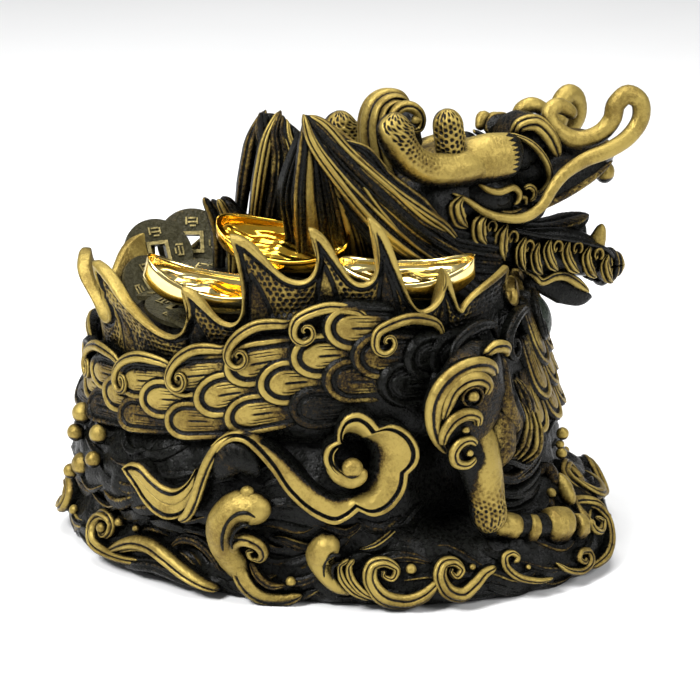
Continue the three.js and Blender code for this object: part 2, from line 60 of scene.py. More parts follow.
MM = 0.001

Array = np.ndarray
Outward = Callable[[Array], Array]
Place = Callable[..., Array]

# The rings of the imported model, one value every 30 degrees: from the back round the left, the front and
# the right
PLINTH_RADII = np.array([70, 75, 81, 86, 75.5, 68.5, 67, 77, 89, 86.5, 82, 75])
CHAIN_HEIGHTS = np.array([62, 60, 60, 60, 61, 69, 87, 76, 72, 70, 68, 64])
FOOT_HEIGHTS = np.array([46, 46, 46, 46, 46, 46, 46, 46, 38, 28, 40, 46])

# The coil's middle and its half axes
COIL_X, COIL_LENGTH, COIL_DEPTH = -5.4, 75.0, 64.0

# The head's origin, how far its snout turns from +X towards +Y, and how far its near side is raised for
# each millimetre outwards
HEAD_PLACE, HEAD_YAW, HEAD_TILT = np.array([42.0, 8.0, 100.0]), math.radians(24), 0.2


def blend(edge0: float, edge1: float, value: Array) -> Array:
    """A smooth step of value from 0 at edge0 to 1 at edge1."""
    t = np.clip((np.asarray(value, float) - edge0) / (edge1 - edge0), 0, 1)
    return t * t * (3 - 2 * t)


def along(keys: float | Sequence[float], t: Array) -> Array:
    """The value of evenly spread keys at t, or of one number all along."""
    t = np.asarray(t, float)
    if np.isscalar(keys):
        return np.full(t.shape, float(keys))
    return np.interp(np.clip(t, 0, 1) * (len(keys) - 1), np.arange(len(keys)), keys)


def around_ring(keys: Array, degrees: Array) -> Array:
    """A smooth value from a ring of keys that repeats every 360 degrees.

    Args:
        keys: Evenly spread values, the first at -180 degrees.
        degrees: Where to read them.

    Returns:
        The values.
    """
    count = len(keys)
    place = ((np.asarray(degrees, float) + 180) % 360) / 360 * count
    index = np.floor(place).astype(int)
    t = place - index
    a, b, c, d = (keys[(index + k) % count] for k in (-1, 0, 1, 2))
    return 0.5 * (2 * b + (c - a) * t + (2 * a - 5 * b + 4 * c - d) * t**2 + (3 * b - 3 * c + d - a) * t**3)


def chest_lean(degrees: Array, z: Array) -> Array:
    """How far the chest at the right leans in above its widest height."""
    facing = np.maximum(0, np.cos(np.radians(np.asarray(degrees, float) - 85)))
    return 0.25 * facing**4 * np.maximum(0, np.asarray(z, float) - 40)


def waist(degrees: Array, z: Array) -> Array:
    """How far the left end is drawn in between the plinth and the fins."""
    facing = np.maximum(0, np.cos(np.radians(np.asarray(degrees, float) + 84)))
    return 4.5 * facing**2 * blend(40, 55, np.asarray(z, float)) * blend(88, 76, np.asarray(z, float))


def on_coil(degrees: Array, z: Array, out: Array = 0.0) -> Array:
    """A point on the coil's oval wall.

    Args:
        degrees: Angle from the front towards the right.
        z: Height.
        out: Distance outwards from the wall.

    Returns:
        Points whose last axis is x, y, z.
    """
    degrees, z, out = np.broadcast_arrays(*(np.asarray(v, float) for v in (degrees, z, out)))
    grown = out - chest_lean(degrees, z) - waist(degrees, z)
    a = np.radians(degrees)
    return np.stack([COIL_X + (COIL_LENGTH + grown) * np.sin(a), -(COIL_DEPTH + grown) * np.cos(a), z], -1)


def on_plinth(degrees: Array, z: Array, out: Array = 0.0) -> Array:
    """A point at the plinth's edge, by the angle round its middle, the height and the distance outwards."""
    degrees, z, out = np.broadcast_arrays(*(np.asarray(v, float) for v in (degrees, z, out)))
    radius = around_ring(PLINTH_RADII, degrees) + out
    a = np.radians(degrees)
    return np.stack([radius * np.sin(a), -radius * np.cos(a), z], -1)


def on_rock(degrees: Array, z: Array, out: Array = 0.0) -> Array:
    """A point on the rock, which runs from the plinth's edge up under the coil.

    Args:
        degrees: Angle round the plinth's middle, from the front towards the right.
        z: Height.
        out: Distance outwards.

    Returns:
        Points whose last axis is x, y, z.
    """
    degrees, z, out = np.broadcast_arrays(*(np.asarray(v, float) for v in (degrees, z, out)))
    a = np.radians(degrees)
    s, c = np.sin(a), np.cos(a)
    square = s**2 / COIL_LENGTH**2 + c**2 / COIL_DEPTH**2
    half = -COIL_X * s / COIL_LENGTH**2
    coil = (-half + np.sqrt(half**2 + square * (1 - (COIL_X / COIL_LENGTH) ** 2))) / square
    hollow = 12 * np.maximum(0, np.cos(np.radians(degrees - 42))) ** 12
    low = around_ring(PLINTH_RADII, degrees) * np.interp(z, (0, 5, 14), (0.955, 1, 0.95))
    high = coil + np.interp(z, (24, 40, 54, 60), (2, 0, -8, -16)) - hollow
    radius = low + (high - low) * blend(14, 24, z) + out
    return np.stack([radius * s, -radius * c, z], -1)


def in_head(forward: Array, side: Array, up: Array) -> Array:
    """A point of the head: forward to the snout, out to the viewer's side, and up."""
    f, d, u = np.broadcast_arrays(*(np.asarray(v, float) for v in (forward, side, up)))
    c, s = math.cos(HEAD_YAW), math.sin(HEAD_YAW)
    return HEAD_PLACE + np.stack([f * c + d * s, f * s - d * c, u + HEAD_TILT * d], -1)


def unit(vectors: Array) -> Array:
    """Vectors of length one."""
    return vectors / np.maximum(np.linalg.norm(vectors, axis=-1, keepdims=True), 1e-9)


def away_from_coil(points: Array) -> Array:
    """The level directions that point away from the coil's axis."""
    slope = (COIL_LENGTH / COIL_DEPTH) ** 2
    flat = np.stack([points[..., 0] - COIL_X, points[..., 1] * slope, np.zeros(points.shape[:-1])], -1)
    return unit(flat)


def away_from_plinth(points: Array) -> Array:
    """The level directions that point away from the plinth's middle."""
    return unit(points * np.array([1, 1, 0]))


def towards(direction: Sequence[float]) -> Outward:
    """The same direction everywhere."""
    return lambda points: np.broadcast_to(unit(np.asarray(direction, float)), points.shape)


UPWARD = towards((0, 0, 1))
HEAD_SIDE = towards((math.sin(HEAD_YAW), -math.cos(HEAD_YAW), HEAD_TILT))


def smooth_path(points: Sequence[Sequence[float]], t: Array) -> Array:
    """Points on the centripetal Catmull-Rom curve through the given points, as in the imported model.

    Args:
        points: The points.
        t: Shares of the way along, from 0 to 1.

    Returns:
        Points on the curve.
    """
    p = np.asarray(points, float)
    last = len(p) - 1
    p = np.vstack([2 * p[0] - p[1], p, 2 * p[-1] - p[-2]])
    place = np.clip(t, 0, 1) * last
    k = np.minimum(place.astype(int), last - 1)
    w = (place - k)[:, None]
    p0, p1, p2, p3 = (p[k + i] for i in range(4))
    gaps = [np.sqrt(np.maximum(np.linalg.norm(b - a, axis=1), 1e-6))[:, None] for a,
            b in ((p0, p1), (p1, p2), (p2, p3))]
    d0, d1, d2 = gaps
    m1 = ((p1 - p0) / d0 - (p2 - p0) / (d0 + d1) + (p2 - p1) / d1) * d1
    m2 = ((p2 - p1) / d1 - (p3 - p1) / (d1 + d2) + (p3 - p2) / d2) * d1
    w2, w3 = w**2, w**3
    return (2 * w3 - 3 * w2 + 1) * p1 + (w3 - 2 * w2 + w) * m1 + (3 * w2 - 2 * w3) * p2 + (w3 - w2) * m2


def ripple(points: Array, length: float, seed: int) -> Array:
    """A soft uneven field between about -1 and 1, with features of about the given length."""
    rng = np.random.default_rng(seed)
    total = np.zeros(points.shape[:-1])
    for _ in range(7):
        wave = unit(rng.normal(size=3)) * (2 * math.pi / length) * rng.uniform(0.6, 1.5)
        total += np.sin(points @ wave + rng.uniform(0, 6.28))
    return total / 3.5


class Carving:
    """Closed shells of carved relief that together make one piece of the casting."""

    def __init__(self, name: str) -> None:
        """Start an empty carving.

        Args:
            name: Name of the piece.
        """
        self.name = name
        self.points: list[Array] = []
        self.faces: list[list[int]] = []
        self.values: dict[str, list[Array]] = {"gilt": [], "edge": [], "rib": []}
        self.count = 0

    def add(self, points: Array, faces: list[list[int]], gilt: Array, edge: Array | float = 9.0,
            rib: Array | float = 9.0) -> None:
        """Add one shell.

        Args:
            points: Its corners in millimetres.
            faces: Its faces as corner numbers of this shell.
            gilt: How golden each corner is.
            edge: Distance of each corner from a carved border.
            rib: Distance of each corner from a carved rib line.
        """
        size = len(points)
        self.points.append(points)
        self.faces += [[corner + self.count for corner in face] for face in faces]
        for key, value in (("gilt", gilt), ("edge", edge), ("rib", rib)):
            self.values[key].append(np.broadcast_to(np.asarray(value, float), (size,)))
        self.count += size

    def add_grid(self, grid: Array, gilt: Array, *, wraps: bool = True, poles: bool = True,
                 edge: Array | float = 9.0, rib: Array | float = 9.0) -> None:
        """Add a shell whose corners are a grid of rows.

        Args:
            grid: Rows of corners.
            gilt: How golden, per corner of the grid.
            wraps: Whether the last corner of a row joins the first.
            poles: Whether the first and the last row are single points.
            edge: Distance from a carved border.
            rib: Distance from a carved rib line.
        """
        rows, columns = grid.shape[:2]
        shape = (rows, columns)
        number = np.arange(rows * columns).reshape(shape)
        if poles:
            number[0, :] = 0
            number[-1, :] = number[-1, 0]
        right = np.roll(number, -1, axis=1) if wraps else number[:, 1:]
        left = number if wraps else number[:, :-1]
        quads = np.stack([left[:-1], left[1:], right[1:], right[:-1]], -1).reshape(-1, 4)
        used, compact = np.unique(number, return_inverse=True)
        renumber = np.zeros(rows * columns, int)
        renumber[used] = np.arange(len(used))
        faces = []
        for quad in renumber[quads].tolist():
            face = list(dict.fromkeys(quad))
            if len(face) > 2:
                faces.append(face)
        values = [np.broadcast_to(np.asarray(v, float), shape).reshape(-1)[used] for v in (gilt, edge, rib)]
        self.add(grid.reshape(-1, 3)[used], faces, *values)

    def add_mesh(self, source: "Cast", matrix: Matrix) -> None:
        """Add a copy of a modelled shape.

        Args:
            source: The shape.
            matrix: Its place, in millimetres.
        """
        turn = np.array(matrix)
        points = source.points @ turn[:3, :3].T + turn[:3, 3]
        self.add(points, source.faces, source.gilt)

    def make(self) -> bpy.types.Object:
        """Make the Blender object of all the shells.

        Returns:
            The object, at the origin, in metres.
        """
        mesh = bpy.data.meshes.new(self.name)
        mesh.from_pydata((np.concatenate(self.points) * MM).tolist(), [], self.faces)
        for key, parts in self.values.items():
            layer = mesh.attributes.new(key, "FLOAT", "POINT")
            layer.data.foreach_set("value", np.concatenate(parts).astype(np.float32))
        mesh.shade_smooth()
        piece = bpy.data.objects.new(self.name, mesh)
        bpy.context.scene.collection.objects.link(piece)
        return piece


@dataclass
class Cast:
    """The corners, faces and finish of a shape that is modelled once and copied."""

    points: Array
    faces: list[list[int]]
    gilt: Array

    @classmethod
    def of(cls, piece: bpy.types.Object, gilt: Callable[[Array], Array]) -> "Cast":
        """Take a modelled object's mesh and remove the object.

        Args:
            piece: The object, modelled in millimetres.
            gilt: How golden each corner is, from its place.

        Returns:
            The shape.
        """
        points = np.array([piece.matrix_world @ v.co for v in piece.data.vertices])
        faces = [list(p.vertices) for p in piece.data.polygons]
        bpy.data.objects.remove(piece)
        return cls(points, faces, gilt(points))


def lattice_pits(plane: Array, pitch: float = 1.85) -> Array:
    """Small round pits in uneven offset rows.

    Args:
        plane: Places on the surface, in millimetres along and across it.
        pitch: Distance from pit to pit.

    Returns:
        1 in the middle of a pit and 0 outside it.
    """
    deepest = np.zeros(plane.shape[:-1])
    cell = np.floor(plane / [pitch, pitch * 0.87])
    for i in (-1, 0, 1):
        for j in (-1, 0, 1):
            at = cell + [i, j]
            one = np.sin(at[..., 0] * 127.1 + at[..., 1] * 311.7) * 43758.5 % 1 - 0.5
            two = np.sin(at[..., 0] * 269.5 + at[..., 1] * 183.3) * 43758.5 % 1 - 0.5
            shift = np.stack([0.5 * (at[..., 1] % 2) + 0.5 + 0.35 * one, 0.5 + 0.35 * two], -1)
            away = np.linalg.norm(plane - (at + shift) * [pitch, pitch * 0.87], axis=-1)
            deepest = np.maximum(deepest, blend(0.42 * pitch, 0.2 * pitch, away))
    return deepest


# Share of the asked rows that a strand without fine detail gets, the columns on a ridge from which its
# detail counts as fine, and the columns along every strand's back
PLAIN_ROWS = 0.7
FINE_COLUMNS = 50
BACK_COLUMNS = 4


def sweep(carving: Carving, points: Sequence[Sequence[float]], width: float | Sequence[float],
          depth: float | Sequence[float], outward: Outward, *, steps: int = 36,
          ridges: Sequence[float] = (1.0,), groove: float = 0.3, gilt: float | Sequence[float] = 1.0,
          pits: float | Sequence[float] = 0.0, cap: float = 0.1, fineness: int = 6, side_gilt: float = 0.1,
          ridge_gilt: Sequence[float] | None = None, shade: Callable[[Array], Array] | None = None) -> None:
    """Carve a strand along a smooth path, with ridges along its outer side.

    Args:
        carving: The carving that it joins.
        points: The path.
        width: Half width across the path, even or as keys.
        depth: Half depth along outward, even or as keys.
        outward: The direction that the strand's face looks in.
        steps: Rows along the path, of which a strand without fine detail gets PLAIN_ROWS.
        ridges: Shares of the face that the ridges take, side by side.
        groove: How deep the grooves between ridges are, as a share of the size.
        gilt: How golden the ridges are, even or as keys.
        pits: How deeply the strand's face is pitted, even or as keys.
        cap: Share of the length that each rounded end takes.
        fineness: Columns on each ridge.
        side_gilt: Height on the flank, as a sine, where the gold sets in.
        ridge_gilt: Shares of the gold that each ridge takes.
        shade: Share of the gold at given points, where it stops at a line of its own.
    """
    if fineness < FINE_COLUMNS and not np.any(np.asarray(pits) > 0):
        steps = round(PLAIN_ROWS * steps)
    cap_rows = max(2 if steps < 16 else 4, steps // 8)
    curve = 1 - np.cos(np.linspace(0, math.pi / 2, cap_rows + 1))
    t = np.concatenate([cap * curve[:-1], np.linspace(cap, 1 - cap, steps), 1 - cap * curve[:-1][::-1]])
    near = np.clip(np.minimum(t, 1 - t) / cap, 0, 1)
    swell = np.sqrt(np.maximum(0, 1 - (1 - near) ** 2))
    centre = smooth_path(points, t)
    ahead, behind = (smooth_path(points, np.clip(t + nudge, 0, 1)) for nudge in (1e-3, -1e-3))
    forward = unit(ahead - behind)
    hint = outward(centre)
    out = unit(hint - forward * np.sum(hint * forward, -1, keepdims=True))
    across = np.cross(forward, out)
    total = float(sum(ridges))
    borders = np.concatenate([[0], np.cumsum(ridges)]) / total
    face = np.concatenate([np.linspace(a, b, fineness + 1)[:-1] for a, b in zip(borders[:-1], borders[1:])])
    angle = np.concatenate([face * math.pi, math.pi + np.linspace(0, math.pi, BACK_COLUMNS + 1)[:-1]])
    which = np.clip(np.searchsorted(borders, face, side="right") - 1, 0, len(ridges) - 1)
    local = (face - borders[which]) / (borders[which + 1] - borders[which])
    height = np.sqrt(np.maximum(0, np.sin(local * math.pi))) if len(ridges) > 1 else np.ones(len(face))
    height = np.concatenate([height, np.ones(BACK_COLUMNS)])
    if len(ridges) > 1:
        height[len(face)] = 0.0
    size = 1 - groove * (1 - height)
    golden = blend(0.35, 0.8, height) * blend(side_gilt - 0.3, side_gilt + 0.35, np.sin(angle))
    if ridge_gilt is not None:
        golden[:len(face)] *= np.asarray(ridge_gilt)[which]
    scale = swell[:, None] * size[None, :]
    widths, depths = along(width, t), along(depth, t)
    hole = np.zeros(scale.shape)
    if np.any(np.asarray(pits) > 0):
        run = np.concatenate([[0], np.cumsum(np.linalg.norm(np.diff(centre, axis=0), axis=-1))])
        girth = (widths + depths).mean() / 2 * angle
        plane = np.stack(np.broadcast_arrays(run[:, None], girth[None, :]), -1)
        hole = lattice_pits(plane) * along(pits, t)[:, None] * (angle < 3.0)
    scale = scale * (1 - 0.55 * hole / depths[:, None])
    wide = (widths[:, None] * np.cos(angle)[None, :] * scale)[..., None]
    deep = (depths[:, None] * np.sin(angle)[None, :] * scale)[..., None]
    grid = centre[:, None] + wide * across[:, None] + deep * out[:, None]
    tone = along(gilt, t)[:, None] * golden[None, :] * (1 - 0.9 * hole)
    if shade is not None:
        tone = tone * shade(grid)
    carving.add_grid(grid, tone)


def curl(place: Place, degrees: float, z: float, out: float, radius: float, inner: float, start: float,
         turns: float, hand: int = 1, count: int = 14) -> list[Array]:
    """Points of a spiral on a surface, from its outer turn inwards.

    Args:
        place: Surface function of degrees, height and distance outwards.
        degrees: Angle of the spiral's middle.
        z: Height of the middle.
        out: Distance outwards.
        radius: Radius of the outer end.
        inner: Radius of the inner end.
        start: Direction of the outer end in degrees.
        turns: Number of turns.
        hand: 1 to turn one way and -1 the other.
        count: Number of points.

    Returns:
        The points.
    """
    t = np.linspace(0, 1, count)
    a = math.radians(start) + hand * turns * 2 * math.pi * t
    r = radius + (inner - radius) * t**0.8
    scale = math.radians(COIL_LENGTH)
    return list(place(degrees + r * np.cos(a) / scale, z + r * np.sin(a), out))


# Finishes


class Mask:
    """A shader value that Python arithmetic works on."""

    def __init__(self, bench: "Bench", socket: bpy.types.NodeSocket) -> None:
        """Wrap a socket of a bench's material."""
        self.bench = bench
        self.socket = socket

    def _math(self, operation: str, *values: "Mask | float") -> "Mask":
        """Add a Math node."""
        node = self.bench.node("ShaderNodeMath", {"operation": operation}, dict(enumerate(values)))
        return Mask(self.bench, node.outputs[0])

    def __add__(self, other: "Mask | float") -> "Mask":
        """The sum."""
        return self._math("ADD", self, other)

    __radd__ = __add__

    def __sub__(self, other: "Mask | float") -> "Mask":
        """The difference."""
        return self._math("SUBTRACT", self, other)

    def __rsub__(self, other: float) -> "Mask":
        """The difference from a number."""
        return self._math("SUBTRACT", other, self)

    def __mul__(self, other: "Mask | float") -> "Mask":
        """The product."""
        return self._math("MULTIPLY", self, other)

    __rmul__ = __mul__

    def largest(self, other: "Mask | float") -> "Mask":
        """The larger value."""
        return self._math("MAXIMUM", self, other)

    def step(self, low: float, high: float) -> "Mask":
        """A smooth step from 0 at low to 1 at high."""
        settings = {"interpolation_type": "SMOOTHSTEP"}
        node = self.bench.node("ShaderNodeMapRange", settings, {0: self, 1: low, 2: high, 3: 0.0, 4: 1.0})
        return Mask(self.bench, node.outputs[0])


class Bench:
    """A material's node tree, with one way to add a node."""

    def __init__(self, name: str) -> None:
        """Start a material with its Principled shader.

        Args:
            name: Name of the material.
        """
        self.material = bpy.data.materials.new(name)
        self.material.use_nodes = True
        self.tree = self.material.node_tree
        self.shader = next(n for n in self.tree.nodes if n.type == "BSDF_PRINCIPLED")
        self.place = self.node("ShaderNodeTexCoord").outputs["Object"]

    def node(self, kind: str, settings: dict | None = None, inputs: dict | None = None) -> bpy.types.Node:
        """Add a node.

        Args:
            kind: The node's type.
            settings: Its properties, set first.
            inputs: Values or links of its sockets, by name or number.

        Returns:
            The node.
        """
        node = self.tree.nodes.new(kind)
        for key, value in (settings or {}).items():
            setattr(node, key, value)
        for key, value in (inputs or {}).items():
            self.feed(node.inputs[key], value)
        return node

    def feed(self, socket: bpy.types.NodeSocket, value: object) -> None:
        """Link or set one socket."""
        if isinstance(value, Mask):
            value = value.socket
        if isinstance(value, bpy.types.NodeSocket):
            self.tree.links.new(value, socket)
        else:
            socket.default_value = value

    def attribute(self, name: str) -> Mask:
        """A number that the mesh carries at its corners."""
        return Mask(self, self.node("ShaderNodeAttribute", {"attribute_name": name}).outputs["Fac"])

    def noise(self, scale: float, detail: float = 3.0, rough: float = 0.55) -> Mask:
        """Soft noise on object coordinates, with the scale in features per metre."""
        inputs = {"Vector": self.place, "Scale": scale, "Detail": detail, "Roughness": rough}
        return Mask(self, self.node("ShaderNodeTexNoise", None, inputs).outputs[0])

    def openness(self, distance: float) -> Mask:
        """How open the surface is within a distance in metres: 1 where it is proud, 0 deep in a cut."""
        settings, inputs = {"samples": 5, "inside": False}, {"Distance": distance}
        return Mask(self, self.node("ShaderNodeAmbientOcclusion", settings, inputs).outputs["AO"])

    def mix(self, factor: Mask | float, first: object, second: object) -> bpy.types.NodeSocket:
        """A colour between two colours."""
        node = self.node("ShaderNodeMix", {"data_type": "RGBA"}, {0: factor, 6: first, 7: second})
        return node.outputs[2]

    def finish(self, inputs: dict[str, object]) -> bpy.types.Material:
        """Feed the shader and give the material."""
        for key, value in inputs.items():
            self.feed(self.shader.inputs[key], value)
        return self.material


Colour = tuple[float, float, float, float]


@dataclass(frozen=True)
class AntiqueGold:
    """Gold applied by rubbing over black lacquer: bright on the ridges, brown at their feet and black in the
    cuts, with painted shade in broad hollows and under overhangs.
    """

    name: str = "antique_gold_finish"
    bright: Colour = (0.34, 0.252, 0.066, 1)
    worn: Colour = (0.155, 0.104, 0.024, 1)
    brown: Colour = (0.034, 0.019, 0.006, 1)
    black: Colour = (0.0018, 0.0018, 0.0014, 1)
    grey: Colour = (0.0075, 0.008, 0.0065, 1)
    has_border: bool = False

    def build(self) -> bpy.types.Material:
        """Make the material."""
        bench = Bench(self.name)
        cloud = bench.noise(48, 4)
        patch = bench.noise(110, 4, 0.6)
        fine = bench.noise(900, 3, 0.6)
        grain = bench.noise(2300, 2, 0.6)
        hollow = bench.openness(0.003)
        proud = bench.openness(0.012)
        gilt = bench.attribute("gilt")
        if self.has_border:
            edge, rib = bench.attribute("edge"), bench.attribute("rib")
            line = edge.step(-0.15, 0.1) * (1 - edge.step(1.2, 1.5))
            gilt = gilt * (1 - line) * rib.step(0.45, 0.9)
        # Painted shade: the wide openness dims the gold in broad hollows and under overhangs, on top of the
        # rubbing that leaves black lacquer in the fine cuts.
        rub_and_shade = gilt * hollow.step(0.3, 0.8) * (0.3 + proud.step(0.2, 0.8) * 0.75)
        rub_and_shade = rub_and_shade + (patch - 0.5) * 0.6 + (fine - 0.5) * 0.7 + (grain - 0.5) * 0.5
        gold = rub_and_shade.step(0.3, 0.62)
        warm = bench.mix(rub_and_shade.step(0.38, 0.8), self.brown, self.worn)
        bright = bench.mix((rub_and_shade + (cloud - 0.5) * 1.5 + (patch - 0.5) * 0.7).step(0.55, 1.2), warm,
                           self.bright)
        dark = bench.mix(fine.step(0.35, 0.75), self.black, self.grey)
        height = grain * 0.3 + fine * 0.6 + patch * 0.5 + bench.noise(320, 2) * 0.9 + gold * 0.25
        bump = bench.node("ShaderNodeBump", None, {"Strength": 0.75, "Distance": 0.0005, "Height": height})
        return bench.finish({
            "Base Color": bench.mix(gold, dark, bright),
            "Metallic": gold * 0.55,
            "Roughness": 0.2 + fine * 0.16 + gold * 0.12,
            "Normal": bump.outputs[0],
            "Specular IOR Level": 0.35,
            "IOR": 1.25,
        })


@dataclass(frozen=True)
class PlatedGold:
    """Mirror-bright plating on the loose ingots."""

    name: str
    colour: Colour
    deep: Colour

    def build(self) -> bpy.types.Material:
        """Make the material."""
        bench = Bench(self.name)
        cloud = bench.noise(160, 3)
        scuff = bench.noise(2600, 2)
        bump = bench.node("ShaderNodeBump", None,
                          {"Strength": 0.12, "Distance": 0.0003, "Height": cloud + scuff * 0.2})
        return bench.finish({
            "Base Color": bench.mix(cloud.step(0.35, 0.7), self.colour, self.deep),
            "Metallic": 1.0,
            "Roughness": 0.08 + scuff * 0.1,
            "Normal": bump.outputs[0],
        })


@dataclass(frozen=True)
class PaleFloor:
    """The plain pale studio floor."""

    name: str = "pale_floor"

    def build(self) -> bpy.types.Material:
        """Make the material."""
        bench = Bench(self.name)
        tone = bench.noise(8, 2)
        return bench.finish({
            "Base Color": bench.mix(tone, (0.86, 0.86, 0.86, 1), (0.9, 0.9, 0.9, 1)),
            "Roughness": 0.7,
        })


class Finishes:
    """Every material of the scene, made once."""

    def __init__(self) -> None:
        """Build all the materials."""
        self.antique = AntiqueGold().build()
        self.fins = AntiqueGold(name="fin_gilding", has_border=True).build()
        self.pale = PlatedGold("pale_gold_finish", (0.98, 0.83, 0.38, 1), (0.95, 0.74, 0.26, 1)).build()
        self.deep = PlatedGold("deep_gold_finish", (0.97, 0.62, 0.08, 1), (0.93, 0.5, 0.04, 1)).build()
        self.brass = AntiqueGold(name="coin_brass", bright=(0.4, 0.32, 0.13, 1), worn=(0.17, 0.14, 0.055, 1),
                                 black=(0.03, 0.027, 0.014, 1), grey=(0.06, 0.055, 0.03, 1)).build()
        self.pearl = AntiqueGold(name="pearl_patina", black=(0.012, 0.018, 0.014, 1),
                                 grey=(0.05, 0.06, 0.045, 1)).build()
        self.floor = PaleFloor().build()


def dress(piece: bpy.types.Object, material: bpy.types.Material, slot: str, *nodes: str) -> None:
    """Give a piece its finish and its body, and hide the CAD nodes that it stands for.

    Args:
        piece: The piece.
        material: Its material.
        slot: Name of the record's material slot, not used.
        nodes: CAD nodes that it replaces.
    """
    piece.data.materials.clear()
    piece.data.materials.append(material)
    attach(piece, "root")
    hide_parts(*nodes)
    LOG.info("%s: %d faces", piece.name, len(piece.data.polygons))


CASTING = "dragon_casting"


def modelled_ball() -> Cast:
    """A small cast bubble, from a sphere whose underside is drawn in to its root.

    Returns:
        The shape, of radius one, golden all over but for its foot.
    """
    bpy.ops.object.select_all(action="DESELECT")
    bpy.ops.mesh.primitive_uv_sphere_add(segments=20, ring_count=12, radius=1)
    ball = bpy.context.active_object
    bpy.ops.object.mode_set(mode="EDIT")
    bpy.ops.mesh.select_all(action="DESELECT")
    bpy.ops.object.mode_set(mode="OBJECT")
    for vertex in ball.data.vertices:
        vertex.select = vertex.co.z < -0.75
    bpy.ops.object.mode_set(mode="EDIT")
    bpy.ops.transform.resize(value=(1.1, 1.1, 1.25))
    bpy.ops.object.mode_set(mode="OBJECT")
    return Cast.of(ball, lambda p: blend(-0.7, -0.2, p[:, 2]))


def ball_at(carving: Carving, ball: Cast, place: Array, radius: float,
            stretch: Sequence[float] = (1, 1, 1)) -> None:
    """Set a copy of the bubble.

    Args:
        carving: The carving that it joins.
        ball: The bubble.
        place: Its middle.
        radius: Its radius.
        stretch: Its shares of the radius along x, y and z.
    """
    matrix = Matrix.Translation(Vector(place.tolist())) @ Matrix.Diagonal((*[radius * s for s in stretch], 1))
    carving.add_mesh(ball, matrix)


# The coiled body


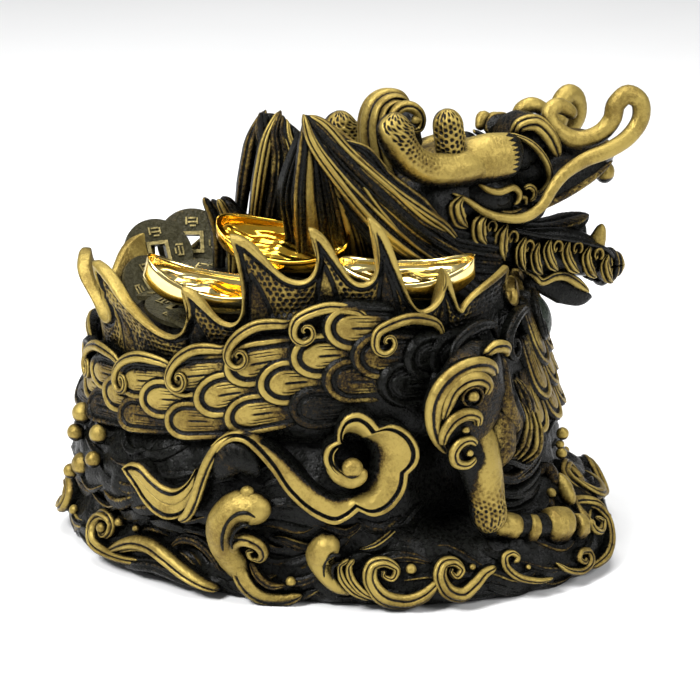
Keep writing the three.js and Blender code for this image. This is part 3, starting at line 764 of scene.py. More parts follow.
@dataclass
class CoiledBody:
    """The wall of the bowl with its coat of scales."""

    # Distance from scale to scale behind the left end, and the angles of one row's ends from there on
    pitch: float = 20.0
    tips: tuple = (-45.2, -28.8, -13.3, 1.2, 13.5, 25.5)
    scale_length: float = 21.5
    leaf_columns: int = 28
    # Tables by angle: the height of row 0, the distance between rows, a scale's half width and where the
    # coat of scales ends below
    rows_angles: tuple = (-250, -100, -70, -49, -45.2, -28.8, -21, -13.3, 1.2, 13.5, 30)
    rows_heights: tuple = (54, 54, 55, 57.8, 58.8, 62.4, 65.6, 69.4, 71.4, 69.3, 66)
    gap_angles: tuple = (-250, -60, -45, -37, -28, -21, -13, 0, 15, 30)
    gaps: tuple = (6.2, 5.2, 5.2, 5.7, 7.0, 7.6, 7.8, 8.0, 8.2, 8.2)
    half_angles: tuple = (-250, -60, -45, -29, -13, 30)
    halves: tuple = (7.0, 6.8, 7.3, 8.3, 8.3, 8.2)
    lower_angles: tuple = (-250, -90, -60, -24, -10, 0, 12, 22, 60)
    lower_heights: tuple = (44, 44, 47.5, 51, 60.5, 62, 64, 66, 72)
    carving: Carving = field(default_factory=lambda: Carving("coiled_body"))

    def wall(self) -> None:
        """Carve the dark wall that the scales lie on, down to its foot and up to the fins' feet."""
        degrees = np.linspace(-180, 180, 241)[:-1]
        foot, chain = around_ring(FOOT_HEIGHTS, degrees), around_ring(CHAIN_HEIGHTS, degrees)
        shares = np.array([0, 0.05, 0.12, 0.25, 0.4, 0.6, 0.8, 0.95, 1.05])
        outs = np.array([-18, -8, -2, 0, 1, 0.8, 0.3, -0.5, -3])
        rows = [on_coil(degrees, foot + (chain - foot) * s, o) for s, o in zip(shares, outs)]
        rows += [on_coil(degrees, chain + 9, -4), on_coil(degrees, chain + 4, -14),
                 on_coil(degrees, foot + 6, -20)]
        grid = np.stack(rows + rows[:1])
        grid = grid + away_from_coil(grid) * (ripple(grid, 9, 3) * 0.35)[..., None]
        grid[-1] = grid[0]
        self.carving.add_grid(grid[::-1], np.full(grid.shape[:2], 0.12), poles=False)

    def leaf(self, place: Callable[[Array, Array, Array], Array], length: float, half: float, lift: float,
             gilt: float = 1.0, shade: Callable[[Array], Array] | None = None) -> None:
        """Carve one scale: a rounded leaf with a rim, a band, a cut, a domed field and strokes at its root.

        Args:
            place: Gives the point for a distance from the root along the scale, one across and a height.
            length: Length from the root to the rounded end.
            half: Half width.
            lift: How far the rounded end stands above the root.
            gilt: How golden it is.
            shade: Share of the gold at given points.
        """
        share = half / 8.6
        depth = np.array([0, 0.1, 0.45, 1.0, 1.3, 2.2, 2.8, 2.95, 3.65, 4.2, 4.4, 4.75, 5.2, 5.4, 5.6, 6.25,
                          6.45, 6.7, 7.65, 8.1, 8.35]) * share
        rise = np.array([-3.2, -1.5, -0.8, -0.4, 0.2, 0.3, 0.0, -0.55, -0.8, -0.7, -0.1, 0.2, 0.3, 0.3, 0.35,
                         0.4, 0.4, 0.42, 0.45, 0.45, 0.45])
        tone = np.array([0, 0, 0, 0, 1, 1, 0.9, 0.05, 0, 0, 0.7, 0.9, 0.9, 0.9, 0.9, 0.9, 0.9, 0.9, 0.9, 0.9,
                         0.9])
        side = np.linspace(-1, 1, self.leaf_columns)
        turn = np.clip(side / 0.55, -1, 1) * math.pi / 2
        straight = (length - 1.15 * half) * (1 - np.maximum(0, np.abs(side) - 0.55) / 0.45)
        d = depth[:, None]
        x = straight[None, :] + (1.15 * half - d) * np.cos(turn)[None, :]
        y = (half - d) * np.sin(turn)[None, :] * (1 - 0.16 * (1 - x / length) ** 2)
        tilt = lift * (x / length) ** 1.2 + 0.35 * (1 - (y / half) ** 2) - 0.8
        height = tilt + rise[:, None] * share
        cut = np.zeros(x.shape)
        for row, near, far in ((13, 0.36, 0.62), (16, 0.3, 0.54), (20, 0.36, 0.6)):
            cut[row] = blend(near - 0.08, near + 0.02, x[row] / length) * blend(far + 0.03, far - 0.07,
                                                                                x[row] / length)
        height = height - 0.55 * cut
        # Painted shade: the gold dims to half towards the scale's root at the right.
        golden = gilt * tone[:, None] * (1 - cut) * (0.5 + 0.5 * blend(0.1, 0.4, x / length))
        grid = place(x, y, height)
        if shade is not None:
            golden = golden * shade(grid)
        floor = place(np.full(len(side), 0.0) + 0.3 * length, np.zeros(len(side)), np.full(len(side), -3.2))
        grid = np.concatenate([floor[None], grid])
        golden = np.concatenate([np.zeros((1, len(side))), golden])
        last = place(x[-1], y[-1] * 0, height[-1])
        grid = np.concatenate([grid, last[None]])
        golden = np.concatenate([golden, golden[-1:]])
        self._leaf_shell(grid, golden)

    def _leaf_shell(self, grid: Array, golden: Array) -> None:
        """Close a scale with one long face across its root and add it.

        Args:
            grid: Rows of corners from the rim to the middle, the first one at a point below the scale.
            golden: How golden each corner is.
        """
        rows, columns = grid.shape[:2]
        number = np.arange(rows * columns).reshape(rows, columns)
        number[0, :] = number[0, 0]
        faces = []
        for i in range(rows - 1):
            for j in range(columns - 1):
                face = list(dict.fromkeys([number[i, j], number[i, j + 1], number[i + 1, j + 1],
                                           number[i + 1, j]]))
                if len(face) > 2:
                    faces.append([int(v) for v in face])
        root = [int(v) for v in number[1:, 0]] + [int(v) for v in number[1:, -1][::-1]]
        faces.append([int(number[0, 0])] + root)
        self.carving.add(grid.reshape(-1, 3), faces, golden.reshape(-1))

    def scales(self) -> None:
        """Lay the rows of scales round the belly, their rounded ends to the left."""
        table = np.linspace(-260, 160, 841)
        a = np.radians(table)
        speed = np.hypot(COIL_LENGTH * np.cos(a), COIL_DEPTH * np.sin(a)) * math.radians(1)
        length = np.concatenate([[0], np.cumsum((speed[1:] + speed[:-1]) / 2 * np.diff(table))])
        known = np.interp(self.tips, table, length)
        counts = np.concatenate([[-18], np.arange(-1, len(self.tips) - 1)])
        known = np.concatenate([[known[0] - 17 * self.pitch], known])
        for row in range(-3, 5):
            for k in range(-17, 6):
                tip = float(np.interp(np.interp(k + 0.5 * (row % 2), counts, known), length, table))
                gap = float(np.interp(tip + 5, self.gap_angles, self.gaps))
                z = float(np.interp(tip, self.rows_angles, self.rows_heights)) + row * gap
                chain = float(around_ring(CHAIN_HEIGHTS, np.array(tip)))
                lower = float(np.interp(tip, self.lower_angles, self.lower_heights))
                if not (-245 < tip < 33 and lower < z < chain + 2):
                    continue
                rate = float(np.interp(tip, table, speed))
                ahead = tip + 12
                ahead_z = float(np.interp(ahead, self.rows_angles, self.rows_heights)
                                + row * np.interp(ahead + 5, self.gap_angles, self.gaps))
                slope = 0.7 * (ahead_z - z) / (12 * rate)

                def place(x: Array, y: Array, h: Array, tip: float = tip, z: float = z, rate: float = rate,
                          slope: float = slope) -> Array:
                    """A scale's point: x runs from the root at the right to the end at the left."""
                    run = self.scale_length - x
                    return on_coil(tip + run / rate, z + y + slope * run, 0.9 + h)

                # Painted shade: the scales' gold dims towards the leg at the right and on the lowest rows of
                # the belly.
                out_of_shade = float(blend(11, -8, np.array(tip + 9.0 * max(0, -row) - 6.0 * max(0, row))))
                out_of_shade *= (0.2, 0.35, 0.85, 1, 1, 1, 1, 1)[row + 3]
                if row < 0 and tip > -100:
                    out_of_shade *= float(np.interp(tip, (-60, -36), (0.45, 1)))
                half = float(np.interp(tip, self.half_angles, self.halves)) * (0.9 if row < 0 else 1.0)
                self.leaf(place, self.scale_length, half, 3.3, 0.1 + 0.9 * out_of_shade, self.under_chain)

    @staticmethod
    def under_chain(points: Array) -> Array:
        """Share of the gold on the scales, which ends in the shadow of the chain's arches."""
        degrees = np.degrees(np.arctan2((points[..., 0] - COIL_X) / COIL_LENGTH,
                                        -points[..., 1] / COIL_DEPTH))
        top = around_ring(CHAIN_HEIGHTS, degrees) + 1 + 4 * blend(-30, -15, degrees)
        return blend(top + 4, top, points[..., 2])

    def chest_scales(self) -> None:
        """Lay the large scales that hang down the chest at the right."""
        for row in range(5):
            z = 41.5 + 8.8 * row
            for k in range(5):
                degrees = 62 + 12.4 * (k + 0.5 * (row % 2))
                if degrees > 128 or (degrees < 70 and row > 1) or (degrees < 100 and row > 2):
                    continue

                def place(x: Array, y: Array, h: Array, degrees: float = degrees, z: float = z) -> Array:
                    """A chest scale's point: its end hangs down."""
                    return on_coil(degrees - y / 1.18 + 0.1 * (x - 11), z + (21 - x), 1.4 + h)

                self.leaf(place, 21, 7.9, 3.4, (0.85, 0.8, 0.65, 0.5, 0.5)[row])

    def build(self, finishes: Finishes) -> None:
        """Carve and dress the body.

        Args:
            finishes: The materials.
        """
        self.wall()
        self.scales()
        self.chest_scales()
        dress(self.carving.make(), finishes.antique, "antique_gold", CASTING)


@dataclass
class ScrollChain:
    """The chain of scrolls that edges the body under the fins."""

    middles: tuple = (-73.8, -51.5, -32, -16.7, -2, 15.6, 34.5, 54, 80, 104, 141, 178, 215, 252, 286.2)
    carving: Carving = field(default_factory=lambda: Carving("scroll_chain"))

    def scroll(self, degrees: float, following: float) -> None:
        """Carve one scroll: an arched back from the next scroll, then a curl.

        Args:
            degrees: Angle of its curl.
            following: Angle of the next curl, where its back starts.
        """
        z = float(around_ring(CHAIN_HEIGHTS, np.array(degrees)))
        next_z = float(around_ring(CHAIN_HEIGHTS, np.array(following)))
        rate = math.radians(1) * math.hypot(COIL_LENGTH * math.cos(math.radians(degrees)),
                                            COIL_DEPTH * math.sin(math.radians(degrees)))
        reach, climb = (following - degrees) * rate, next_z - z
        back = [(reach - 4.0, climb + 1.6), (0.7 * reach, 0.47 * climb + 5.7),
                (0.5 * reach, 0.32 * climb + 7.1), (0.27 * reach, 0.22 * climb + 7.4),
                (0.2, 0.12 * climb + 5.2), (-2.6, 2.8), (-3.5, -0.4), (-2.7, -2.6), (-0.6, -3.6),
                (1.4, -2.5), (2.1, -0.6), (1.3, 1.2), (-0.1, 1.3), (-0.8, 0.2), (0.0, -0.7)]
        outs = np.interp(np.arange(len(back)), [0, 3, 6, 14], [-0.5, 1.2, 2.6, 2.9])
        points = [on_coil(degrees + x / rate, z + y, o) for (x, y), o in zip(back, outs)]
        width = [0.7, 1.5, 1.9, 2.0, 1.9, 1.7, 1.5, 1.3, 1.15, 1.0, 0.9, 0.8, 0.7, 0.65, 0.6]
        depth = [1.2, 1.8, 2.2, 2.4, 2.4, 2.3, 2.2, 2.0, 1.8, 1.6, 1.4, 1.2]
        sweep(self.carving, points, width, depth, away_from_coil, steps=100, ridges=(0.36, 0.64),
              groove=0.34, cap=0.03, gilt=0.3 if 30 < degrees < 100 else 1.0)

    def build(self, finishes: Finishes) -> None:
        """Carve and dress the chain.

        Args:
            finishes: The materials.
        """
        for degrees, following in zip(self.middles[:-1], self.middles[1:]):
            self.scroll(degrees, following)
        dress(self.carving.make(), finishes.antique, "antique_gold", CASTING)


@dataclass
class FinRim:
    """The rim of fins, each with a gilt border, a cut inside it, a pitted field and ribs."""

    front: tuple = (
        (-96, 90.5, -102, 76, 1), (-66, 95.5, -68, 76, 1), (-32, 95.5, -37.5, 79, 1),
        (-19.5, 113, -20, 86, 1), (-1.5, 116, -3.8, 100, 1), (12, 118.5, 10.5, 99, 1),
        (31, 101, 25.5, 89, 1), (65, 93, 37, 87, -1), (71, 88, 67.5, 81, 1),
    )
    carving: Carving = field(default_factory=lambda: Carving("fin_rim"))
    rate: float = 1.28

    def fins(self) -> list[tuple[float, float, float, float, float]]:
        """All fins in order: angle and height of the tip and of the valley before it, and the lean."""
        back = [(82 + 29 * k, 87, 78 + 29 * k, 76, 1) for k in range(6)]
        return [*self.front, *back]

    @staticmethod
    def bezier(controls: Sequence[tuple[float, float]], t: Array) -> Array:
        """Points of a cubic Bezier curve."""
        p = np.asarray(controls, float)
        s = 1 - t[:, None]
        t = t[:, None]
        return s**3 * p[0] + 3 * s**2 * t * p[1] + 3 * s * t**2 * p[2] + t**3 * p[3]

    def edge(self, fin: tuple, following: tuple) -> tuple[Array, Array]:
        """The upper edge of one fin.

        Args:
            fin: The fin.
            following: The next fin, whose valley ends this one.

        Returns:
            The edge as angles and heights, and how wide its gilt border is there.
        """
        tip, tip_z, valley, valley_z, lean = fin
        end = following[2] + (360 if following[2] < valley else 0)
        span = end - valley
        bow = 0.22 * span * lean
        rise = self.bezier([(valley, valley_z), (valley + max(bow, 0) + 1, valley_z),
                            (tip + bow, valley_z + 0.45 * (tip_z - valley_z)), (tip, tip_z)],
                           np.linspace(0, 1, 31)[:-1])
        drop, run = tip_z - following[3], end - tip
        fall = self.bezier([(tip, tip_z), (tip + 0.5 * run, tip_z - 0.03 * drop),
                            (tip + 0.58 * run, following[3] + 0.04 * drop),
                            (end, following[3])] if lean > 0 else
                           [(tip, tip_z), (tip + bow * 1.2, following[3] + 0.75 * drop),
                            (end - 0.3 * span, following[3]), (end, following[3])],
                           np.linspace(0, 1, 41)[:-1])
        t = np.concatenate([np.linspace(-1, 0, 31)[:-1], np.linspace(0, 1, 41)[:-1]])
        broad = 0.95 + 1.1 * blend(0.0, 0.12, t) * blend(0.75, 0.3, t)
        if lean < 0:
            high, ahead = tip_z - valley_z, tip - valley
            rise = self.bezier([(valley, valley_z), (valley + 0.1 * ahead, valley_z + 0.9 * high),
                                (tip - 0.45 * ahead, tip_z + 0.5), (tip, tip_z)], np.linspace(0, 1, 31)[:-1])
            broad = 0.8 + 0.3 * blend(-0.8, -0.4, t) * blend(0.05, -0.1, t)
        return np.concatenate([rise, fall]), broad

    def build(self, finishes: Finishes) -> None:
        """Carve and dress the rim as one closed ring.

        Args:
            finishes: The materials.
        """
        fins = self.fins()
        edges, broads, feet = [], [], []
        for k, fin in enumerate(fins):
            following = fins[(k + 1) % len(fins)]
            edge, broad = self.edge(fin, following)
            end = following[2] + (360 if following[2] < fin[2] else 0)
            rise_feet = np.linspace(0, 0.5, 31)[:-1]
            fall_feet = np.linspace(0.5, 1, 41)[:-1]
            feet.append(fin[2] + (end - fin[2]) * np.concatenate([rise_feet, fall_feet]))
            edges.append(edge)
            broads.append(broad)
        edge, broad, foot = np.concatenate(edges), np.concatenate(broads), np.concatenate(feet)
        shares = np.concatenate([np.linspace(-0.2, 0.94, 43), [0.965, 0.985, 1.0]])
        crest = around_ring(CHAIN_HEIGHTS, foot) + 5
        angle = foot + (edge[:, 0] - foot) * np.clip(shares[:, None], 0, 1)
        height = crest + (edge[:, 1] - crest) * shares[:, None]
        plane = np.stack([angle * self.rate, height], -1)
        gap, border = self.distance(plane, edge, broad)
        rib = self.rib_distance(plane, fins)
        pitted = blend(1.2, 1.7, border) * blend(0.8, 1.4, rib) * self.field_mask(plane, fins)
        relief = 0.6 * blend(0.15, -0.35, border) - 0.9 * blend(-0.1, 0.25, border) * blend(1.5, 1.05, border)
        relief = relief - 0.8 * blend(1.1, 0.4, rib) - 0.55 * pitted * lattice_pits(plane)
        outs = -3.0 + 2.4 * np.clip(shares, 0, 1)[:, None] + relief - 0.5 * blend(0.5, 0, gap)
        outer = on_coil(angle, height, outs)
        thick = 1.5 + 0.4 * broad + 1.1 * blend(-25, -50, foot)
        rows = [outer]
        for turn in (25, 50, 75, 105, 130, 155):
            a = math.radians(turn)
            rows.append(on_coil(edge[:, 0], edge[:, 1] + 0.35 * math.sin(a),
                                -0.6 - thick * (1 - math.cos(a)) / 2)[None])
        inner_shares = np.linspace(1, -0.3, 14)
        inner_out = np.interp(inner_shares, [-0.3, 0.35, 1], [-17, -8.5, -0.6 - 2.6])
        inner_angle = foot + (edge[:, 0] - foot) * np.clip(inner_shares[:, None], 0, 1)
        inner_height = crest + (edge[:, 1] - crest) * inner_shares[:, None]
        shift = (thick - 2.6) * np.clip(inner_shares[:, None], 0, 1)
        rows.append(on_coil(inner_angle, inner_height, inner_out[:, None] - shift))
        grid = np.concatenate(rows)
        grid = np.concatenate([grid, grid[:1]])
        inside = blend(-0.1, 0.75, inner_shares)[:, None] * np.ones(len(foot))
        front = np.degrees(np.arccos(np.cos(np.radians(angle - 75))))
        dim = 0.35 * blend(0.1, 0.4, border) * blend(50, 20, front)
        shade = (0.62 + 0.38 * blend(25, 50, front)) * (1 - dim)
        between = 1 - self.field_mask(plane, fins)
        level = 0.74 + 0.26 * blend(0.2, -0.2, border) - 0.62 * pitted * lattice_pits(plane) - 0.3 * between
        golden = np.concatenate([level * shade, np.ones((6, len(foot))), 0.95 * inside, shade[:1] * 0.5])
        quiet = np.full((7 + len(inner_shares), len(foot)), -1.0)
        borders = np.concatenate([border, quiet])
        ribs = np.concatenate([rib, quiet * 0 + 9])
        self.carving.add_grid(grid, golden, poles=False, edge=borders, rib=ribs)
        dress(self.carving.make(), finishes.fins, "antique_gold", CASTING)

    def distance(self, plane: Array, edge: Array, broad: Array) -> tuple[Array, Array]:
        """How far points of the rim are from its upper edge.

        Args:
            plane: Points as arc length and height.
            edge: The edge as angles and heights.
            broad: Width of the gilt border along the edge.

        Returns:
            The distance, and the distance beyond the border.
        """
        line = np.stack([edge[:, 0] * self.rate, edge[:, 1]], -1)
        whole = 360 * self.rate
        line = np.concatenate([line[-60:] - [whole, 0], line, line[:60] + [whole, 0]])
        wide = np.concatenate([broad[-60:], broad, broad[:60]])
        flat = plane.reshape(-1, 2)
        gap, border = np.empty(len(flat)), np.empty(len(flat))
        a, b = line[:-1], line[1:]
        step = b - a
        size = np.maximum(np.sum(step**2, -1), 1e-9)
        for start in range(0, len(flat), 4000):
            p = flat[start:start + 4000, None]
            t = np.clip(np.sum((p - a) * step, -1) / size, 0, 1)
            away = np.linalg.norm(p - (a + t[..., None] * step), axis=-1)
            beyond = away - (wide[:-1] + t * (wide[1:] - wide[:-1]))
            gap[start:start + 4000] = away.min(1)
            border[start:start + 4000] = beyond.min(1)
        return gap.reshape(plane.shape[:-1]), border.reshape(plane.shape[:-1])

    def ribs(self, fins: list[tuple]) -> list[Array]:
        """The rib lines of every fin: two that part from a point under the tip, in arc length and height."""
        lines = []
        for k, (tip, tip_z, valley, valley_z, lean) in enumerate(fins):
            following = fins[(k + 1) % len(fins)]
            end = following[2] + (360 if following[2] < valley else 0)
            span = end - valley
            floor = float(around_ring(CHAIN_HEIGHTS, np.array(valley + 0.5 * span))) + 1
            middle = valley + 0.45 * span
            top = np.array([(tip * 0.45 + middle * 0.55) + 1.0 * lean, floor + 0.62 * (tip_z - floor)])
            spread = min(4.6, 0.2 * span * self.rate) / self.rate
            for side in (-1, 1):
                foot = np.array([middle + side * spread + 0.8, floor - 2])
                bend = (top + foot) / 2 + [side * 0.45 * spread, 2.0]
                t = np.linspace(0, 1, 9)[:, None]
                curve = (1 - t) ** 2 * top + 2 * t * (1 - t) * bend + t**2 * foot
                lines.append(curve * [self.rate, 1])
        return lines

    def rib_distance(self, plane: Array, fins: list[tuple]) -> Array:
        """How far points of the rim are from the nearest rib line."""
        best = np.full(plane.shape[:-1], 9.0)
        for line in self.ribs(fins):
            for a, b in zip(line[:-1], line[1:]):
                step = b - a
                t = np.clip(((plane - a) @ step) / (step @ step), 0, 1)
                best = np.minimum(best, np.linalg.norm(plane - (a + t[..., None] * step), axis=-1))
        return best

    def field_mask(self, plane: Array, fins: list[tuple]) -> Array:
        """Where the field is pitted: not between the two ribs of a fin."""
        mask = np.ones(plane.shape[:-1])
        lines = self.ribs(fins)
        for left, right in zip(lines[::2], lines[1::2]):
            x, z = plane[..., 0], plane[..., 1]
            start = np.interp(-z, -left[:, 1], left[:, 0])
            stop = np.interp(-z, -right[:, 1], right[:, 0])
            inside = (x > start) & (x < stop) & (z < left[0, 1])
            mask[inside] = 0.0
        return mask


# Plinth and cloud


@dataclass
class WavePlinth:
    """The base of rock and rolling waves."""

    ball: Cast
    carving: Carving = field(default_factory=lambda: Carving("wave_plinth"))

    def rock(self) -> None:
        """Carve the base and the dark rock that climbs under the coil."""
        degrees = np.linspace(-180, 180, 361)[:-1]
        hollow = 12 * np.maximum(0, np.cos(np.radians(degrees - 42))) ** 12
        edge = on_plinth(degrees, 0)
        rows = [edge * [0, 0, 1], edge * [0.5, 0.5, 1], edge * [0.955, 0.955, 1]]
        profile = [(0.965, 0.4), (0.985, 2), (1.0, 5), (0.995, 8), (0.975, 11), (0.95, 14), (0.935, 17)]
        rows += [np.stack([edge[:, 0] * s, edge[:, 1] * s, np.full(len(degrees), z)], -1) for s, z in profile]
        lower = rows[-1]
        upper = on_coil(degrees, 24, 2 - hollow)
        rows += [lower * 0.65 + upper * 0.35 + [0, 0, 0.5], lower * 0.3 + upper * 0.7 + [0, 0, 0.8], upper]
        rock = [(28, 2.2), (32, 1.8), (36, 1), (40, 0), (44, -2), (49, -5), (54, -8), (60, -16)]
        rows += [on_coil(degrees, z, out - hollow) for z, out in rock]
        rows.append(rows[-1] * [0, 0, 1])
        grid = np.stack(rows)
        rough = ripple(grid, 11, 5) * 0.9 + ripple(grid, 4, 6) * 0.35
        lines = np.sin(grid[..., 2] * 2.3 + 2.2 * ripple(grid, 30, 7)) * 0.35
        lift = np.zeros(len(rows))
        lift[4:-2] = 1
        away = away_from_plinth(grid + [1e-6, 0, 0])
        grid = grid + away * ((rough + lines) * lift[:, None])[..., None]
        golden = 0.1 + 0.25 * blend(0.55, 1.0, rough * 0.7 + lines)
        self.carving.add_grid(grid[::-1], golden[::-1], poles=True)

    def strand(self, path: Sequence[Sequence[float]], width: object, depth: object = 3.0, out: float = 2.0,
               ridges: Sequence[float] = (0.5, 0.27, 0.23), steps: int = 70, **more: object) -> None:
        """Carve one strand of a wave from places on the rock.

        Args:
            path: Places as angle, height and, where it differs, distance outwards.
            width: Half width, even or as keys.
            depth: Half depth, even or as keys.
            out: Distance outwards where a place gives none.
            ridges: Shares of the ridges.
            steps: Rows along the strand.
            more: Other settings of the sweep.
        """
        points = [on_rock(*(p if len(p) > 2 else (*p, out))) for p in path]
        sweep(self.carving, points, width, depth, away_from_plinth, steps=steps, ridges=ridges, **more)

    def front_waves(self) -> None:
        """Carve the waves that the front shows."""
        # The tall wave with a smooth rounded head, and two dark strokes inside it
        self.strand([(-21, 5, 1), (-25.5, 12, 3), (-27, 20, 4), (-26, 27, 4.5), (-22.6, 31.4, 4.6),
                     (-18.6, 31, 4.6), (-16.4, 28.4, 4.4)], [3, 4.4, 5, 5.4, 5.8, 6.0, 4.6],
                    [2.5, 4.5, 5.4, 5.8, 5.8, 4.6], ridges=(1.0,), cap=0.18, fineness=26)
        for path in ([(-17.4, 31.0, 9.6), (-19.1, 32.4, 10.2), (-21.2, 32.0, 10.4), (-23.4, 29.4, 10.0),
                      (-24.6, 25.6, 9.6), (-25.4, 20.6, 9.0), (-25.8, 15.8, 7.4)],
                     [(-18.4, 28.6, 10.2), (-20.0, 28.6, 10.4), (-21.8, 26.6, 9.8), (-22.8, 23.4, 9.2),
                      (-23.4, 19.5, 8.6)]):
            self.strand(path, [0.35, 0.6, 0.6, 0.55, 0.5, 0.4, 0.3], 0.8, ridges=(1.0,), gilt=0.0, steps=40)
        # The large spiral before it, whose tail runs right along the edge
        self.strand([(-8.2, 3.6, 1.5), (-13.6, 1.4, 2), (-18.6, 2.2), (-22.4, 6.6), (-24.6, 12.0, 3),
                     (-25.0, 17.0, 4), (-23.4, 21.4, 5), (-20.4, 23.0, 6), (-17.4, 21.4, 6.4),
                     (-16.8, 18.2, 6.4), (-18.2, 15.6, 6), (-20.2, 16.2, 6), (-20.2, 18.6, 6.2),
                     (-18.8, 19.0, 6.4)],
                    [1.6, 2.8, 3.0, 3.1, 3.1, 3.0, 2.7, 2.3, 1.9, 1.6, 1.35, 1.15, 0.95, 0.8],
                    [2, 3.4, 3.8, 3.6, 3, 2.4, 1.8], ridges=(0.6, 0.4), steps=120, cap=0.04)
        self.strand([(-12, 7), (-16, 6.6, 2.4), (-19.6, 9.6, 3), (-21.6, 14, 3.6)], [0.5, 1.4, 1.6, 0.5], 2,
                    gilt=0.6)
        # The second rounded wave with three strands under its ball
        self.strand([(4.6, 4.6, 0.5), (0.6, 7.4, 1.4), (-2.6, 11.8, 2.4), (-3.6, 16.4, 3), (-1.6, 19.4, 3.4),
                     (1.2, 18.4, 3.6)], [1.6, 2.4, 3.2, 4.4, 5.0, 3.6], [2, 3, 4, 5, 5, 4], ridges=(1.0,),
                    cap=0.2, fineness=24)
        for path in ([(1.7, 19.0, 8.2), (-0.3, 19.0, 8.4), (-1.9, 16.8, 7.8), (-2.5, 13.4, 6.6),
                      (-2.4, 10.7, 5.4)],
                     [(1.4, 16.4, 8.2), (0.0, 15.2, 7.8), (-0.4, 13.0, 7.0), (0.0, 10.4, 5.6)]):
            self.strand(path, [0.3, 0.55, 0.5, 0.4, 0.3], 0.8, ridges=(1.0,), gilt=0.0, steps=30)
        for shift in (0.0, 2.2):
            self.strand([(9 + shift, 3.4), (4.6 + shift, 6.4, 3), (1.8 + shift, 10.6, 4),
                         (1.4 + shift, 14.2, 4.6), (3.6 + shift * 0.6, 16.2, 4.6)],
                        [0.8, 1.3, 1.4, 1.2, 0.7], 2.0, ridges=(0.5, 0.5), gilt=0.9)
        # Two rolling scrolls along the edge
        self.strand([(24.6, 9.4), (20.6, 5.4), (16.2, 3.0), (11.4, 5.0), (8.8, 9.6), (9.6, 13.8),
                     (12.6, 14.8), (15.0, 12.6), (14.0, 10.2), (12.2, 10.8), (12.2, 12.4)],
                    [1.4, 2.4, 2.8, 2.8, 2.6, 2.2, 1.8, 1.4, 1.1, 0.9, 0.8], [2, 3, 3.2, 3.2, 3, 2.4, 1.8],
                    ridges=(0.4, 0.33, 0.27), steps=100, cap=0.04)
        self.strand([(37.4, 11.4), (34.6, 10.2), (31.8, 7.4), (28.6, 5.0), (25.8, 6.4), (24.6, 10.6),
                     (25.8, 14.0), (28.2, 14.2), (29.4, 11.8), (28.2, 10.2), (27.2, 11.4), (27.6, 12.6)],
                    [1.2, 1.9, 2.3, 2.6, 2.6, 2.4, 2.0, 1.7, 1.3, 1.1, 0.9, 0.8],
                    [2, 3, 3.2, 3.2, 3, 2.4, 1.8], ridges=(0.4, 0.33, 0.27), steps=100, cap=0.04)
        # Small curls before the paw
        self.strand([(49, 5.4), (45, 5.8), (41.2, 8.0), (39.4, 11.4), (39.8, 14.0), (41.4, 14.6),
                     (42.4, 13.0), (41.4, 11.6)],
                    [0.6, 1.2, 1.4, 1.4, 1.2, 1.0, 0.8], 1.8, ridges=(0.6, 0.4), gilt=0.8)
        self.strand([(50.6, 9.2), (52.6, 6.4), (56.8, 4.4), (59.6, 6.2), (59.8, 8.8), (57.8, 9.8),
                     (56.4, 8.2), (57.4, 6.9), (58.6, 7.8)], [0.6, 1.2, 1.4, 1.4, 1.2, 1.0, 0.8], 1.8,
                    ridges=(0.6, 0.4), gilt=0.9)
        self.strand([(60, 3.4), (66, 4.6), (71, 7.6), (73.6, 12.0), (73, 16.6), (69, 18.8), (65.2, 17),
                     (64.6, 13.4), (67.2, 11.6), (69.4, 13.2), (68.4, 15)],
                    [1.0, 1.9, 2.2, 2.2, 2.0, 1.7, 1.4, 1.1, 0.9], 2.4,
                    ridges=(0.45, 0.3, 0.25), gilt=0.85, steps=90, cap=0.04)
        # The low ridge at the left, and the swell under it
        self.strand([(-64.4, 3.4), (-58.6, 8.6), (-54.0, 11.2), (-48.8, 11.4), (-43.6, 9.4), (-38.4, 6.8),
                     (-33.6, 4.6), (-29.6, 3.2)], [1.2, 2.4, 2.9, 3.0, 3.0, 2.8, 2.2, 1.4],
                    [2.4, 3.8, 4.4, 4.2, 3.2], ridges=(0.24, 0.28, 0.48), cap=0.06)
        self.strand([(-60, 1.6, 1), (-54, 4.4, 1), (-47, 6, 1), (-40, 4.4, 1), (-33, 1.6, 1)],
                    [1, 2.2, 2.6, 2.2, 1], [2, 3, 3, 2], gilt=0.35)
        self.strand([(-44, 13), (-40, 16.6, 1.6), (-35.6, 16.4, 2), (-31.6, 12.4, 2), (-28.6, 8.6)],
                    [0.8, 1.8, 2, 1.8, 0.8], 2.6, gilt=0.45)

    def side_waves(self) -> None:
        """Carve the waves round the sides and the back, each a tail that climbs into a curl."""
        waves = [(-66, 11.5, 1.6, 6.0, 17, 1), (80, 22, 1.6, 5.6, 13, 1), (102, 11, 1.5, 7, 13, 1),
                 (131, 12, 1.5, 7.4, 13, 1), (160, 11, 1.5, 7, 13, 1), (189, 12, 1.5, 7.8, 13, 1),
                 (218, 11, 1.5, 7.4, 13, 1), (246, 12, 1.5, 7.4, 13, 1), (272, 13, 1.5, 5.6, 13, -1),
                 (116, 24, 1.2, 5, 12, -1), (147, 23, 1.2, 5.4, 12, -1), (176, 24, 1.2, 5, 12, -1),
                 (205, 24, 1.2, 5.4, 12, -1), (233, 23, 1.2, 5, 12, -1)]
        for degrees, z, out, size, tail, hand in waves:
            foot = on_rock(degrees + hand * tail, z - size * 0.9, out - 2)
            run = on_rock(degrees + hand * tail * 0.5, z - size * 1.1, out)
            turn = curl(on_rock, degrees, z, out + 0.4, size, size * 0.14, -90, 1.45, -hand)
            sweep(self.carving, [foot, run, *turn],
                  [size * s for s in (0.2, 0.36, 0.36, 0.33, 0.27, 0.2, 0.15, 0.1)],
                  [2, 3.4, 3.6, 3.2, 2.6, 2.0, 1.5], away_from_plinth, steps=80, ridges=(0.42, 0.32, 0.26),
                  cap=0.04)

